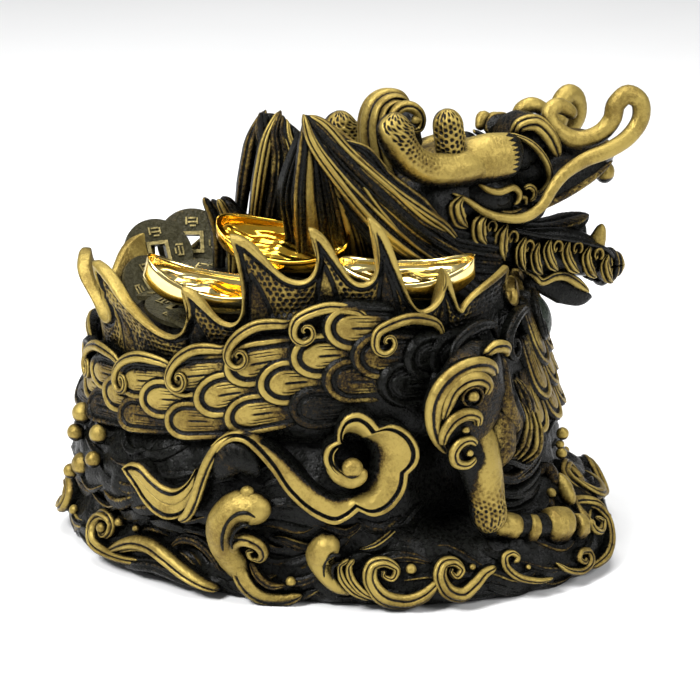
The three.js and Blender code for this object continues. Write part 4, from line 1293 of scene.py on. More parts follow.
    def water_lines(self) -> None:
        """Carve the thin lines of water that run between the waves and up the rock, mostly left dark."""
        rng = np.random.default_rng(11)
        for row, (z, count, reach) in enumerate(((3.5, 34, 15), (8.5, 34, 15), (14, 34, 14), (19.5, 32, 14),
                                                 (25, 30, 15), (31, 28, 15), (37, 26, 15), (43, 26, 14))):
            for k in range(count):
                start = -180 + 360 * (k + rng.uniform(0, 0.7)) / count
                rise, wave = rng.uniform(-4.5, 4.5), rng.uniform(1.0, 2.6)
                behind_cloud = -12 < start < 34 and z > 27
                behind_leg = 20 < start < 72 and z > 14
                if behind_cloud or behind_leg:
                    continue
                path = [(start + s * reach, z + rise * (s - 0.5) + wave * math.sin(s * 5 + k), -0.6)
                        for s in np.linspace(0, 1, 7)]
                ridges = tuple(rng.uniform(0.6, 1.4, int(rng.integers(2, 5))))
                share = rng.uniform(0, 1, len(ridges)) ** 2
                wide = rng.uniform(1.4, 2.8)
                self.strand(path, [0.3, 0.8 * wide, wide, 0.8 * wide, 0.3], [0.8, 2.0, 2.2, 0.8],
                            ridges=ridges, groove=0.34, gilt=0.9 if row < 5 else 0.55, ridge_gilt=share,
                            steps=15, cap=0.14, fineness=3)

    def bubbles(self) -> None:
        """Set the small balls of spray."""
        spots = [(-20.6, 36.8, 6, 2.2), (-66, 11.5, 4, 1.9), (-62.4, 14.4, 2.4, 1.6), (-56.4, 14.6, 2, 1.4),
                 (-46, 10.6, 4, 1.2), (-11, 8.0, 2.6, 1.6), (18.6, 12.4, 2, 1.7), (32.4, 11.9, 2, 1.1),
                 (44.6, 9.5, 1.4, 0.9), (3, 30, 2, 1.3), (62, 14, 2, 1.7)]
        for degrees, z, out, radius in spots:
            ball_at(self.carving, self.ball, on_rock(degrees, z, out), radius)
        rng = np.random.default_rng(4)
        for k in range(16):
            place = on_rock(100 + k * 12 + rng.uniform(-3, 3), rng.uniform(6, 22), 1.2)
            ball_at(self.carving, self.ball, place, rng.uniform(0.9, 1.8))

    def build(self, finishes: Finishes) -> None:
        """Carve and dress the plinth.

        Args:
            finishes: The materials.
        """
        self.rock()
        self.front_waves()
        self.side_waves()
        self.water_lines()
        self.bubbles()
        for shell in self.carving.points:
            shell[:, 2] = np.maximum(shell[:, 2], 0.0)
        dress(self.carving.make(), finishes.antique, "antique_gold", CASTING)


@dataclass
class LuckyCloud:
    """The ribbon that waves along the front and rolls into a lobed cloud head."""

    ball: Cast
    carving: Carving = field(default_factory=lambda: Carving("lucky_cloud"))
    # Places as angle and height along the lobed outer border and along the inner edge opposite
    outer: tuple = (
        (-20.8, 47.5), (-19.3, 50.0), (-17.4, 51.6), (-15.4, 51.4), (-12.5, 48.2), (-9.3, 43.2),
        (-6.1, 36.7), (-2.3, 31.5), (0.8, 28.6), (4.0, 27.1), (6.5, 28.5), (9.1, 31.2), (12.3, 29.2),
        (15.5, 30.5), (18.1, 34.1), (19.4, 37.7), (19.9, 42.0), (21.8, 44.6), (22.5, 48.3), (21.5, 52.8),
        (19.1, 56.5), (16.4, 58.2), (13.5, 57.6), (11.5, 60.9), (9.1, 62.7), (6.5, 62.0), (4.6, 58.2),
        (4.1, 54.0), (2.1, 52.1), (1.3, 48.3), (2.1, 45.0), (3.6, 42.6), (5.9, 41.0), (8.1, 41.4),
        (9.7, 43.7),
    )
    inner: tuple = (
        (-22.8, 49.9), (-20.3, 53.2), (-17.2, 54.8), (-14.4, 54.2), (-10.8, 51.7), (-7.3, 48.1),
        (-4.2, 44.5), (-1.4, 40.7), (1.5, 37.6), (4.0, 35.8), (5.9, 35.5), (7.8, 35.6), (9.7, 36.9),
        (11.0, 38.8), (11.9, 41.1), (12.4, 43.4), (12.5, 45.3), (12.4, 47.3), (12.0, 48.7), (11.4, 50.2),
        (10.6, 51.5), (9.8, 52.3), (9.1, 53.0), (8.2, 53.6), (7.4, 53.8), (6.7, 53.9), (6.0, 53.7),
        (5.4, 53.0), (4.6, 51.6), (4.0, 49.7), (3.8, 47.3), (4.6, 45.4), (5.9, 44.4), (6.5, 44.4),
        (7.0, 44.6),
    )
    cusps: tuple = (11, 16, 22, 27)

    @staticmethod
    def border(places: Sequence[tuple[float, float]], cusps: Sequence[int], fine: int = 5) -> Array:
        """A smooth line through places that stays sharp at the cusps.

        Args:
            places: Places as angle and height.
            cusps: Numbers of the places that stay sharp.
            fine: Steps between places.

        Returns:
            The line.
        """
        stops = [0, *cusps, len(places) - 1]
        parts = []
        for a, b in zip(stops[:-1], stops[1:]):
            run = [(x, z, 0.0) for x, z in places[a:b + 1]]
            parts.append(smooth_path(run, np.linspace(0, 1, (b - a) * fine + 1))[:-1, :2])
        parts.append(np.array([places[-1]]))
        return np.concatenate(parts)

    def band(self, first: Array, second: Array, out: Array, shares: Sequence[float],
             rises: Callable[[Array], Array], tones: Callable[[Array], Array]) -> None:
        """Carve a band between two lines.

        Args:
            first: The line at the rim, as angles and heights.
            second: The opposite line.
            out: Distance outwards along the band.
            shares: Where corners lie across the band, as hold takes them.
            rises: Height of the relief, from millimetres inside the rim.
            tones: Gold, from the same.
        """
        middle = (first + second) / 2
        away = [self.hold(first, second, share) for share in shares]
        places = np.stack([a for a, _ in away])
        depths = np.stack([d for _, d in away])
        top = on_coil(places[..., 0], places[..., 1], out + rises(depths))
        tone = tones(depths)
        count = len(first)
        foot1 = on_coil(first[:, 0], first[:, 1], -3.0)[None]
        foot2 = on_coil(second[:, 0], second[:, 1], -3.0)[None]
        grid = np.concatenate([foot1, top, foot2, on_coil(middle[:, 0], middle[:, 1], -6)[None], foot1])
        golden = np.concatenate([np.zeros((1, count)), tone, np.zeros((3, count))])
        self.ended(grid, golden)

    @staticmethod
    def hold(first: Array, second: Array, share: float) -> tuple[Array, Array]:
        """Places across a band, and how far inside its rim they are.

        Args:
            first: The line at the rim, as angles and heights.
            second: The opposite line.
            share: Millimetres from the rim, as a negative number, or a share of the rest.

        Returns:
            The places and their depths.
        """
        span = np.linalg.norm((second - first) * [1.3, 1], axis=1)
        rim = np.minimum(3.4, 0.7 * span)
        depth = np.minimum(-share, rim) if share <= 0 else rim + (span - rim) * share
        t = depth / np.maximum(span, 1e-6)
        return first + (second - first) * t[:, None], depth

    def ended(self, grid: Array, golden: Array) -> None:
        """Add a closed band, with a flat face over each of its two ends.

        Args:
            grid: Rows of corners round the band, the last one on the first.
            golden: How golden each corner is.
        """
        rows, columns = grid.shape[:2]
        number = np.arange(rows * columns).reshape(rows, columns)
        number[-1] = number[0]
        faces = []
        for i in range(rows - 1):
            for j in range(columns - 1):
                faces.append([int(number[i, j]), int(number[i + 1, j]), int(number[i + 1, j + 1]),
                              int(number[i, j + 1])])
        faces.append([int(v) for v in number[:-1, 0]][::-1])
        faces.append([int(v) for v in number[:-1, -1]])
        self.carving.add(grid.reshape(-1, 3), faces, golden.reshape(-1))

    def head(self) -> None:
        """Carve the ribbon's right half and the lobed head with its dark hollow."""
        outer = self.border(self.outer, self.cusps)
        inner = self.border(self.inner, ())
        t = np.linspace(0, len(self.outer) - 1, len(outer))
        hollow = blend(8, 14, t) * blend(36, 29, t)
        out = 5.8 + 1.0 * blend(2, 10, t) + 0.8 * blend(26, 33, t)
        span = np.linalg.norm((inner - outer) * [1.3, 1], axis=1)

        def rises(depth: Array) -> Array:
            """Relief: a rounded rim, a cut, and a field that sinks into the hollow."""
            rim = -1.9 * blend(0.9, 0, depth) + 0.5 * blend(2.0, 1.2, depth)
            cut = -1.1 * blend(1.9, 2.3, depth) * blend(3.1, 2.7, depth)
            inward = np.clip((depth - 3.4) / np.maximum(span - 3.4, 0.5), 0, 1)
            return rim + cut - 5.5 * hollow * inward**1.7 - 2.0 * (1 - hollow) * blend(0.75, 1.0, inward)

        def tones(depth: Array) -> Array:
            """Gold on the rim and the field, dark in the cut and in the hollow."""
            line = blend(1.75, 2.0, depth) * blend(3.2, 2.95, depth)
            inward = np.clip((depth - 3.4) / np.maximum(span - 3.4, 0.5), 0, 1)
            return (1 - line) * blend(0.1, 0.8, depth) * (1 - hollow * blend(0.5, 0.95, inward)) * (
                1 - (1 - hollow) * blend(0.6, 1.0, inward))

        shares = [0, -0.3, -0.7, -1.2, -1.7, -1.9, -2.1, -2.5, -2.9, -3.1, -3.3, 0.05, 0.15, 0.3, 0.45, 0.6,
                  0.75, 0.9, 1.0]
        self.band(outer, inner, out, shares, rises, tones)
        ball_at(self.carving, self.ball, on_coil(7.6, 45.0, 6.2), 3.3, (1, 0.9, 1))
        hook = [(2.3, 48.5, 4.6), (3.1, 45.4, 5.2), (4.8, 42.6, 5.6), (7.4, 41.4, 6.0), (9.2, 42.8, 6.2),
                (9.0, 45.4, 6.2)]
        sweep(self.carving, [on_coil(*place) for place in hook], [0.8, 1.5, 2.2, 2.6, 2.4, 1.6],
              [1.4, 2, 2.4, 2.4, 2], away_from_coil, cap=0.12, fineness=16)

    def tail(self) -> None:
        """Carve the ribbon's tail and the gilt rim that arches up from it."""
        upper = self.border([(-47.4, 37.0), (-45.3, 39.2), (-41.9, 39.8), (-38.4, 37.0), (-35.0, 34.8),
                             (-31.9, 34.6), (-28.7, 37.6), (-26.4, 42.6)], ())
        lower = self.border([(-47.4, 36.2), (-45.9, 34.2), (-43.1, 31.0), (-40.4, 27.0), (-37.0, 24.2),
                             (-34.1, 23.6), (-30.8, 25.2), (-27.4, 30.0)], ())
        for first, second, lift in ((upper, lower, 0.0), (lower, upper, 0.4)):
            half = (first + second) / 2

            def rises(depth: Array) -> Array:
                """Relief: a rounded rim, a cut and a flat field."""
                return -1.6 * blend(0.8, 0, depth) + 0.4 * blend(1.6, 0.9, depth) - 0.9 * blend(
                    1.5, 1.8, depth) * blend(2.6, 2.3, depth)

            def tones(depth: Array) -> Array:
                """Gold but for the cut."""
                return (1 - blend(1.4, 1.6, depth) * blend(2.7, 2.5, depth)) * blend(0.0, 0.5, depth)

            shares = [0, -0.3, -0.7, -1.1, -1.5, -1.7, -2.0, -2.3, -2.6, -2.8, -3.2, 0.3, 0.6, 1.0]
            line = first if lift == 0 else first[::-1]
            opposite = half if lift == 0 else half[::-1]
            self.band(line, opposite, 5.0 + np.zeros(len(first)), shares, rises, tones)
        arch = [(-30.5, 25.0, 5.0), (-28.1, 27.6, 5.8), (-26.2, 32.9, 5.8), (-24.9, 38.5, 5.6),
                (-23.6, 44.0, 4.9), (-21.8, 48.7, 4.2), (-19.7, 51.6, 3.2), (-17.3, 52.9, 2.4),
                (-14.9, 51.8, 1.6)]
        points = [on_coil(*p) for p in arch]
        sweep(self.carving, points, [1.2, 2.0, 2.0, 2.0, 1.9, 1.8, 1.5], [2.0, 2.6, 2.6, 2.6, 2.2],
              away_from_coil, ridges=(0.3, 0.7), groove=0.35, cap=0.05)
        fold = [(-22.5, 39, 3.0), (-20, 44, 4.2), (-17.5, 47, 4.4), (-15, 45.5, 4.0), (-12.5, 41, 3.0)]
        sweep(self.carving, [on_coil(*p) for p in fold], [3, 4.6, 5, 4, 2.4], [2, 2.6, 2.6, 2],
              away_from_coil, gilt=[0.1, 0.4, 0.25, 0.1], cap=0.2, fineness=16)

    def build(self, finishes: Finishes) -> None:
        """Carve and dress the cloud.

        Args:
            finishes: The materials.
        """
        self.head()
        self.tail()
        dress(self.carving.make(), finishes.antique, "antique_gold", CASTING)


# Leg and paws


@dataclass
class Foreleg:
    """The near foreleg with its curled locks, and the two paws."""

    ball: Cast
    carving: Carving = field(default_factory=lambda: Carving("legs_and_paws"))

    def strand(self, path: Sequence[tuple[float, float, float]], width: object, depth: object = 2.4,
               **more: object) -> None:
        """Carve one strand from places on the coil, given as angle, height and distance outwards."""
        sweep(self.carving, [on_coil(*p) for p in path], width, depth, away_from_coil, **more)

    def limb(self) -> None:
        """Carve the thigh, the shank and the pitted ankle."""
        self.strand([(45, 74, 1), (36, 68, 6), (32, 58, 7), (33, 46, 7)], [7, 12, 12, 8], [6, 8.4, 8.4, 7],
                    ridges=(1.0,), gilt=[0.2, 0.35, 0.4, 0.5], cap=0.3, fineness=30, side_gilt=-0.3)
        self.strand([(32.4, 58, 7), (35, 44, 9), (36.5, 31, 10.5), (36.5, 21.5, 12)], [9, 7.2, 5.4, 6.4],
                    [6, 6.2, 5.8, 6], ridges=(1.0,), gilt=[0.6, 0.9, 0.95, 1.0], pits=[0, 0, 0.1, 0.8, 1.0],
                    cap=0.25, fineness=60, steps=110, shade=self.shank_side)
        self.strand([(38.5, 62, 7), (40.5, 54, 9.5), (40.8, 46, 10), (38.5, 40, 10)], [3, 4.8, 4.2, 2],
                    [3, 4.4, 4, 2], ridges=(1.0,), gilt=0.55, cap=0.3, fineness=16)
        self.strand([(45, 72, 6), (41.5, 62, 10.5), (44.5, 53, 10), (46.5, 47, 8)], [1.5, 4.6, 4.4, 1.2],
                    [2, 3.6, 3.2, 1.5], ridges=(0.14, 0.58, 0.14, 0.14), gilt=0.6, cap=0.12, fineness=10,
                    ridge_gilt=(0.5, 0.9, 0.3, 1.0))
        rng = np.random.default_rng(17)
        for k in range(6):
            start = 44 + 1.7 * k
            path = [(start, 62 - 1.6 * k, 9), (start + rng.uniform(-0.6, 0.6), 56 - 1.6 * k, 10.4),
                    (start - 1.2 + rng.uniform(-0.6, 0.6), 49 - 1.4 * k, 9.6), (start - 3.4, 42 - 0.8 * k, 7)]
            self.strand(path, [0.4, 1.2, 1.3, 0.4], [1.4, 2.6, 2.6, 1.2], ridges=(0.6, 0.4),
                        gilt=float(rng.uniform(0.2, 0.8)), cap=0.12)
        self.strand([(50, 64, 5), (50.5, 56, 7), (49, 47, 7), (46, 40, 5)], [2, 4.2, 4.6, 1.6],
                    [2, 3.6, 3.2, 1.5], ridges=(0.2,) * 5, gilt=0.45, cap=0.12)

    @staticmethod
    def shank_side(points: Array) -> Array:
        """Share of the gold on the shank: its left side stays dark down to the ankle."""
        degrees = np.degrees(np.arctan2((points[..., 0] - COIL_X) / COIL_LENGTH,
                                        -points[..., 1] / COIL_DEPTH))
        line = np.interp(points[..., 2], (22, 27, 34, 44, 60), (24, 30, 31.5, 32.5, 34))
        return 0.15 + 0.85 * blend(line - 1.2, line + 1.2, degrees + ripple(points, 9, 12) * 0.8)

    def locks(self) -> None:
        """Carve the three spirals of curled hair down the thigh, each round a ball."""
        self.strand([(38.6, 68.4, 10), (36.4, 73, 12.5), (32.6, 75.4, 13.8), (28.4, 74.8, 14),
                     (24.9, 71.4, 13.8), (23.2, 66, 13), (23.2, 59.5, 12), (24.8, 53.5, 10.5),
                     (27.6, 48.5, 9)],
                    [1.5, 2.6, 3.1, 3.3, 3.3, 3.2, 2.8, 2.2, 1.4], [2, 3, 3.4, 3.2, 2.4],
                    ridges=(0.42, 0.58), steps=90, cap=0.05)
        self.strand([(33.6, 66.2, 14.4), (34.2, 69.2, 14.8), (32.2, 71.8, 15.2), (29.0, 72, 15.2),
                     (26.6, 69.6, 15), (25.4, 65.2, 14.6), (24.8, 60, 13.4)],
                    [1.4, 2.2, 2.7, 2.8, 2.6, 2.2, 1.3], [2, 3, 3, 2.4, 1.6],
                    ridges=(0.5, 0.28, 0.22), steps=70, cap=0.06)
        self.strand([(31.8, 57.5, 15), (31.6, 60.4, 15.4), (29.2, 62, 15.4), (26.4, 60.4, 15),
                     (25.0, 56.6, 14), (25.0, 52.6, 12.5)], [1.2, 1.9, 2.3, 2.4, 2.1, 1.2],
                    [2, 2.8, 2.8, 1.8], ridges=(0.5, 0.28, 0.22), steps=60, cap=0.06)
        self.strand([(31.6, 51.6, 15), (30.2, 53.6, 15.2), (28.0, 53.4, 15.2), (26.6, 50.6, 15),
                     (27.2, 47.2, 14.6), (29.8, 45.8, 14.4), (31.8, 47.4, 14.4)],
                    [1.0, 1.6, 1.8, 1.8, 1.8, 1.5, 1.0], [1.6, 2.4, 2.4, 1.6],
                    ridges=(0.5, 0.5), steps=60, cap=0.06)
        self.strand([(43.5, 74.5, 9), (41.8, 77.4, 10.5), (38.4, 78.6, 11), (35.5, 76.8, 11)],
                    [1.4, 2.2, 2.2, 1.2], [2, 3, 3, 2], ridges=(0.4, 0.6), gilt=0.9)
        for degrees, z, radius in ((30.4, 67.0, 1.9), (28.8, 57.2, 1.2), (29.7, 49.8, 1.1)):
            ball_at(self.carving, self.ball, on_coil(degrees, z, 16.4), radius)
            ring = curl(on_coil, degrees, z, 15.6, radius + 1.2, radius + 0.9, -80, 0.95, 1)
            if radius > 1.5:
                sweep(self.carving, ring, [0.4, 0.7, 0.7, 0.4], 1.4, away_from_coil, steps=40, gilt=0.5)

    def toe(self, points: Sequence[Sequence[float]], width: Sequence[float], depth: Sequence[float],
            gilt: object = 1.0, **more: object) -> None:
        """Carve one toe through places in space."""
        sweep(self.carving, points, width, depth, UPWARD, ridges=(1.0,), gilt=gilt, fineness=24,
              side_gilt=-0.7, **more)

    def forepaw(self) -> None:
        """Carve the paw that stands on the plinth: knuckles with dark cuts between, and blunt claws."""
        self.toe([(43, -57, 21.5), (54, -55, 21.5), (63, -50, 19.5), (71, -45, 18)], [3.6, 3.8, 3.8, 3],
                 [3.6, 3.8, 3.8, 3], gilt=0.15)
        fingers = [[(47.5, -57.5, 24.4), (51.4, -57, 23.6), (56.2, -55.4, 21.6)],
                   [(57.4, -54.6, 21.6), (60.6, -52.6, 20.6)],
                   [(63.4, -50.6, 20.2), (67.4, -47.4, 19.8), (71.4, -44.6, 18.4)],
                   [(72.4, -44.2, 17.8), (76.2, -41.4, 16.6)]]
        sizes = [([3.2, 3.8, 4.0], 4.0), ([4.3, 4.4], 4.4), ([5.0, 5.8, 5.2], 5.6), ([4.6, 3.8], 4.2)]
        for path, (wide, deep) in zip(fingers, sizes):
            self.toe([(x, y, z - 1.2) for x, y, z in path], wide, deep, cap=0.24)
        self.toe([(56, -36, 20), (60, -30, 27), (65.5, -28.5, 29.4), (68.2, -33, 26)], [3, 3, 2.4, 1.8],
                 [3, 3, 2.4, 1.8], gilt=0.35, cap=0.2)
        self.toe([(68.4, -27.5, 27.6), (70.6, -31.4, 24.4), (73.0, -35.6, 20.4)], [2.0, 2.8, 2.2],
                 [2.2, 2.8, 2.2], cap=0.25)
        self.toe([(62, -34, 23), (64.6, -36.4, 22.6), (66.6, -39, 20)], [1.8, 2.4, 1.6], [2, 2.4, 1.8],
                 cap=0.3, gilt=0.5)
        self.toe([(52, -44, 20), (58, -38, 21), (63, -30, 23.5), (67, -20, 23)], [6, 7, 7, 4], [4, 5, 5, 3],
                 gilt=0.1)
        for x, y, z, radius in ((66.2, -37, 24.8, 1.7), (64.7, -29, 30.4, 1.2), (78.6, -37, 14.8, 1.6),
                                (70.7, -20, 38.2, 2.0), (69.9, -21, 35.0, 1.4), (70.3, -22, 32.4, 1.8)):
            ball_at(self.carving, self.ball, np.array([x, y, z]), radius)
        rng = np.random.default_rng(23)
        for k in range(9):
            z = 24 + 2.6 * k
            path = [(38, z + 4, 6), (44, z + rng.uniform(-1.5, 1.5), 7.4),
                    (51, z - 1 + rng.uniform(-2, 2), 6.4), (60, z + rng.uniform(-1, 3), 4)]
            self.strand(path, [0.6, 1.4, 1.4, 0.6], [1.6, 2.4, 2.2, 1.2], ridges=(0.5, 0.5),
                        gilt=float(rng.uniform(0, 0.5)), cap=0.12)

    def hind_paw(self) -> None:
        """Carve the toes at the left, half under the coil."""
        for tip in ((-80, -12, 26), (-83, 2, 31), (-78, 8, 39)):
            end = np.array(tip, float)
            heel = np.array([-62.0, -16, 32])
            knuckle = heel * 0.25 + end * 0.75 + [0, 0, 2]
            self.toe([heel, heel * 0.5 + knuckle * 0.5, knuckle, end], [4, 3.6, 4.8, 2.2], [4, 3.8, 4.8, 2.4],
                     gilt=[0.2, 0.5, 1, 1], cap=0.25)
        for x, y, z, radius in ((-78.1, -20, 45.0, 3.4), (-80.4, -20, 38.7, 2.8), (-72.2, -30, 41.6, 3.2),
                                (-78.2, -20, 28.1, 4.0), (-74, -33, 34.4, 2.6), (-73.6, -20, 50.2, 2.0),
                                (-82.6, -18, 25.1, 2.4)):
            ball_at(self.carving, self.ball, np.array([x, y, z]), radius)

    def build(self, finishes: Finishes) -> None:
        """Carve and dress the leg and the paws.

        Args:
            finishes: The materials.
        """
        self.limb()
        self.locks()
        self.forepaw()
        self.hind_paw()
        dress(self.carving.make(), finishes.antique, "antique_gold", CASTING)


# Head


FAR_SIDE = towards((-math.sin(HEAD_YAW), math.cos(HEAD_YAW), HEAD_TILT))


def from_head(points: Array) -> tuple[Array, Array, Array]:
    """Points as forward, side and up of the head."""
    x, y, z = np.moveaxis(points - HEAD_PLACE, -1, 0)
    c, s = math.cos(HEAD_YAW), math.sin(HEAD_YAW)
    side = x * s - y * c
    return x * c + y * s, side, z - HEAD_TILT * side


class HeadPart:
    """Part of the head, carved in the head's own forward, side and up."""

    def __init__(self, name: str, ball: Cast) -> None:
        """Start a part.

        Args:
            name: Name of the piece.
            ball: The bubble.
        """
        self.carving = Carving(name)
        self.ball = ball

    def strand(self, path: Sequence[Sequence[float]], width: object, depth: object,
               outward: Outward = HEAD_SIDE, side: int = 1, **more: object) -> None:
        """Carve one strand through places in the head.

        Args:
            path: Places as forward, side and up.
            width: Half width, even or as keys.
            depth: Half depth, even or as keys.
            outward: Where its face looks.
            side: 1 for the viewer's side and -1 for the far side, where it is mirrored.
            more: Other settings of the sweep.
        """
        points = [in_head(f, side * d, u) for f, d, u in path]
        if side < 0 and outward is HEAD_SIDE:
            outward = FAR_SIDE
        more.setdefault("ridges", (1.0,))
        sweep(self.carving, points, width, depth, outward, **more)

    def knob(self, place: Sequence[float], radius: float, stretch: Sequence[float] = (1, 1, 1),
             side: int = 1) -> None:
        """Set a small ball in the head."""
        f, d, u = place
        ball_at(self.carving, self.ball, in_head(f, side * d, u), radius, stretch)

    def dress(self, finishes: Finishes) -> None:
        """Make the piece and dress it."""
        dress(self.carving.make(), finishes.antique, "antique_gold", CASTING)


class Skull(HeadPart):
    """The cranium, the jaws, the nose, the tongue and the teeth."""

    def bones(self) -> None:
        """Carve the dark main forms."""
        self.strand([(-34, 0, -2), (-18, 0, 5), (0, 0, 10), (16, 0, 12)], [15, 18, 15, 12],
                    [14, 18, 16.6, 13], UPWARD, gilt=[0.2, 0.4, 0.75, 0.75], fineness=40, cap=0.35,
                    side_gilt=0.5)
        self.strand([(6, 0, 12), (20, 0, 15), (30, 0, 16), (40, 0, 17), (51, 0, 16.4)],
                    [12, 12.4, 12, 10.4, 6.4], [12, 12, 10, 7.4, 4.4], UPWARD,
                    gilt=[0.2, 0.3, 0.45, 0.5, 0.6], fineness=36, cap=0.18, side_gilt=-0.2)
        self.strand([(10, 0, 20), (18, 0, 24), (24, 0, 22)], [9, 12, 11], [6, 8.4, 6.6], UPWARD, gilt=0.35,
                    cap=0.35, fineness=30)
        self.strand([(-6, 0, -8), (12, 0, -11), (30, 0, -15), (49, 0, -21)], [14, 12, 9.6, 5.4],
                    [10, 7.5, 6.6, 5.4], UPWARD, gilt=0.1, fineness=30, cap=0.18)

    def mouth(self) -> None:
        """Carve the tongue, the teeth and the lips."""
        self.strand([(10, 0, -4), (26, 0, -6), (35, 0, -5.4), (42.5, 0, -3.6)], [6, 7, 8, 4.6],
                    [2, 2.2, 2.4, 1.6], UPWARD, ridges=(0.5, 0.5), groove=0.5, gilt=[0.3, 0.36, 0.4, 0.5],
                    cap=0.25, fineness=10)
        for side in (1, -1):
            self.strand([(40.5, 5.5, -17.5), (42.8, 6.2, -11), (44.0, 6.6, -6.6)], [4, 2.8, 1.2],
                        [2.6, 2.2, 1.2], side=side, gilt=0.95, cap=0.2, fineness=12)
            self.strand([(6, 14, 4.5), (13, 13.6, 1.6), (20.4, 12.4, 2.6), (29.5, 12, 5.8), (37.4, 11, 9.4),
                         (46, 8.4, 14)],
                        [0.9, 1.2, 1.3, 1.3, 1.2, 0.6], 1.5, side=side, gilt=0.5, steps=60)
            self.strand([(6, 9.5, -1.0), (14, 9.6, 1.6), (22, 9.2, 1.6)], [4, 5, 4], [2.6, 3, 2.6],
                        side=side, gilt=0.0, fineness=18, cap=0.3)
            self.strand([(6, 13.5, -3.6), (17.3, 12.4, -7), (27.4, 11, -9.4), (38.2, 9, -12.4),
                         (45.5, 7, -15.4), (51, 3, -20)], 0.8, 1.2, side=side, gilt=0.2, steps=50)
            self.strand([(14, 10, 5), (22, 10.4, 6.2), (30, 10.2, 9), (38, 9.2, 12.4), (44, 7.4, 14.6)],
                        [3, 4, 4, 3.4, 2], [2, 2.2, 2.2, 2, 1.5], side=side, gilt=0.0, fineness=18)
            self.strand([(14, 7, -7), (28, 7, -8.8), (35, 6.6, -10.6), (41, 6, -13.4)], [2, 2.8, 2.8, 2.4],
                        2.6, side=side, gilt=0.0, fineness=18)
            for k in range(6):
                f = 15 + 5.2 * k
                self.strand([(f, 10.4 - 0.7 * k, 2.6 + 1.9 * k), (f + 0.6, 10.2 - 0.7 * k, -0.4 + 1.9 * k)],
                            [1.5, 0.9], [1.2, 0.9], side=side, gilt=0.5, cap=0.3, steps=10)
        self.knob((46.8, 2, 10.0), 3.6, (0.9, 1.2, 1))

    def jaw_strokes(self) -> None:
        """Carve the leaning strokes along the lower jaw, with small curls between."""
        strokes = [
            [(-12.3, 17.2, 7.9), (-12.7, 17.4, 4.1), (-9.7, 17.0, -0.9)],
            [(-3.5, 16.4, 1.4), (-4.9, 16.4, -2.3), (-2.4, 15.6, -7.4)],
            [(4.4, 14.6, -2.7), (4.7, 14.2, -8.0), (5.1, 13.0, -13.6)],
            [(11.6, 13.4, -8.0), (12.2, 13.0, -12.7), (13.0, 11.8, -17.8)],
            [(16.9, 12.4, -10.4), (18.0, 11.9, -15.2), (19.8, 10.6, -19.8)],
            [(21.5, 11.3, -9.8), (23.3, 10.8, -14.6), (26.0, 9.4, -19.4)],
            [(28.7, 10.2, -11.0), (30.6, 9.6, -16.5), (34.3, 8.2, -21.3)],
            [(37.1, 8.8, -14.0), (38.5, 8.2, -18.8), (41.3, 7.0, -23.8)],
            [(44.6, 7.2, -17.8), (46.5, 6.4, -22.4), (48.3, 5.2, -26.5)],
        ]
        for k, stroke in enumerate(strokes):
            wide = 2.9 if k < 3 else 2.1
            first, middle, last = (np.array(place) for place in stroke)
            path = [first + [1.4, 0, 1.2], first * 0.5 + middle * 0.5 - [0.9, 0, 0],
                    middle * 0.5 + last * 0.5 - [1.1, 0, 0], last + [0.6, 0, -0.4]]
            for side in (1, -1):
                self.strand([tuple(place) for place in path], [0.5, wide, wide, 0.5], [1.2, 2.8, 2.8, 1.2],
                            side=side, ridges=(0.3, 0.34, 0.36), groove=0.6, cap=0.1, fineness=8)
        for place in [(-0.1, 15.2, -2.0), (8.0, 14.0, -6.4), (14.2, 13.0, -10.2), (25.4, 11.0, -11.7),
                      (33.2, 9.8, -13.1), (41.7, 8.2, -16.3)]:
            for side in (1, -1):
                f, d, u = place
                ring = [(f + 1.5 * math.cos(a), d, u + 1.9 * math.sin(a)) for a in np.linspace(-1.2, 3.9, 9)]
                self.strand([*ring, (f, d + 0.3, u)], 0.62, 1.3, side=side, steps=30, fineness=6, gilt=0.9)
        for f, radius in ((47.6, 5.6), (50.6, 4.8), (53.0, 3.2)):
            turns = np.linspace(0, 2 * math.pi, 14)
            loop = [(f, radius * math.cos(a), -21.4 + radius * math.sin(a)) for a in turns]
            self.strand(loop, 1.15, 1.2, towards((math.cos(HEAD_YAW), math.sin(HEAD_YAW), 0)), steps=44,
                        fineness=6, cap=0.02, gilt=0.9)
        self.knob((52.6, 0, -21.5), 3.4)

    def beard(self) -> None:
        """Carve the wavy gilt edge under the jaw and the dark leaf below it."""
        self.strand([(12, 8, -16.5), (18.3, 8.4, -20.2), (21.6, 8.2, -23.0), (26.3, 7.6, -21.9),
                     (30.6, 6.8, -22.2), (35.5, 6.0, -25.1), (40.6, 5.2, -29.0)],
                    [0.9, 1.5, 1.5, 1.7, 1.9, 1.9, 0.8], 1.6, steps=60, ridges=(0.6, 0.4))
        self.strand([(16, 2, -17), (25, 3, -22), (32, 4, -26.4), (38, 4, -30), (43, 3, -31)],
                    [3, 5.4, 5.6, 3.4, 0.8], [2, 2.6, 2.4, 1.6, 0.8], gilt=0.12, cap=0.15, fineness=16)

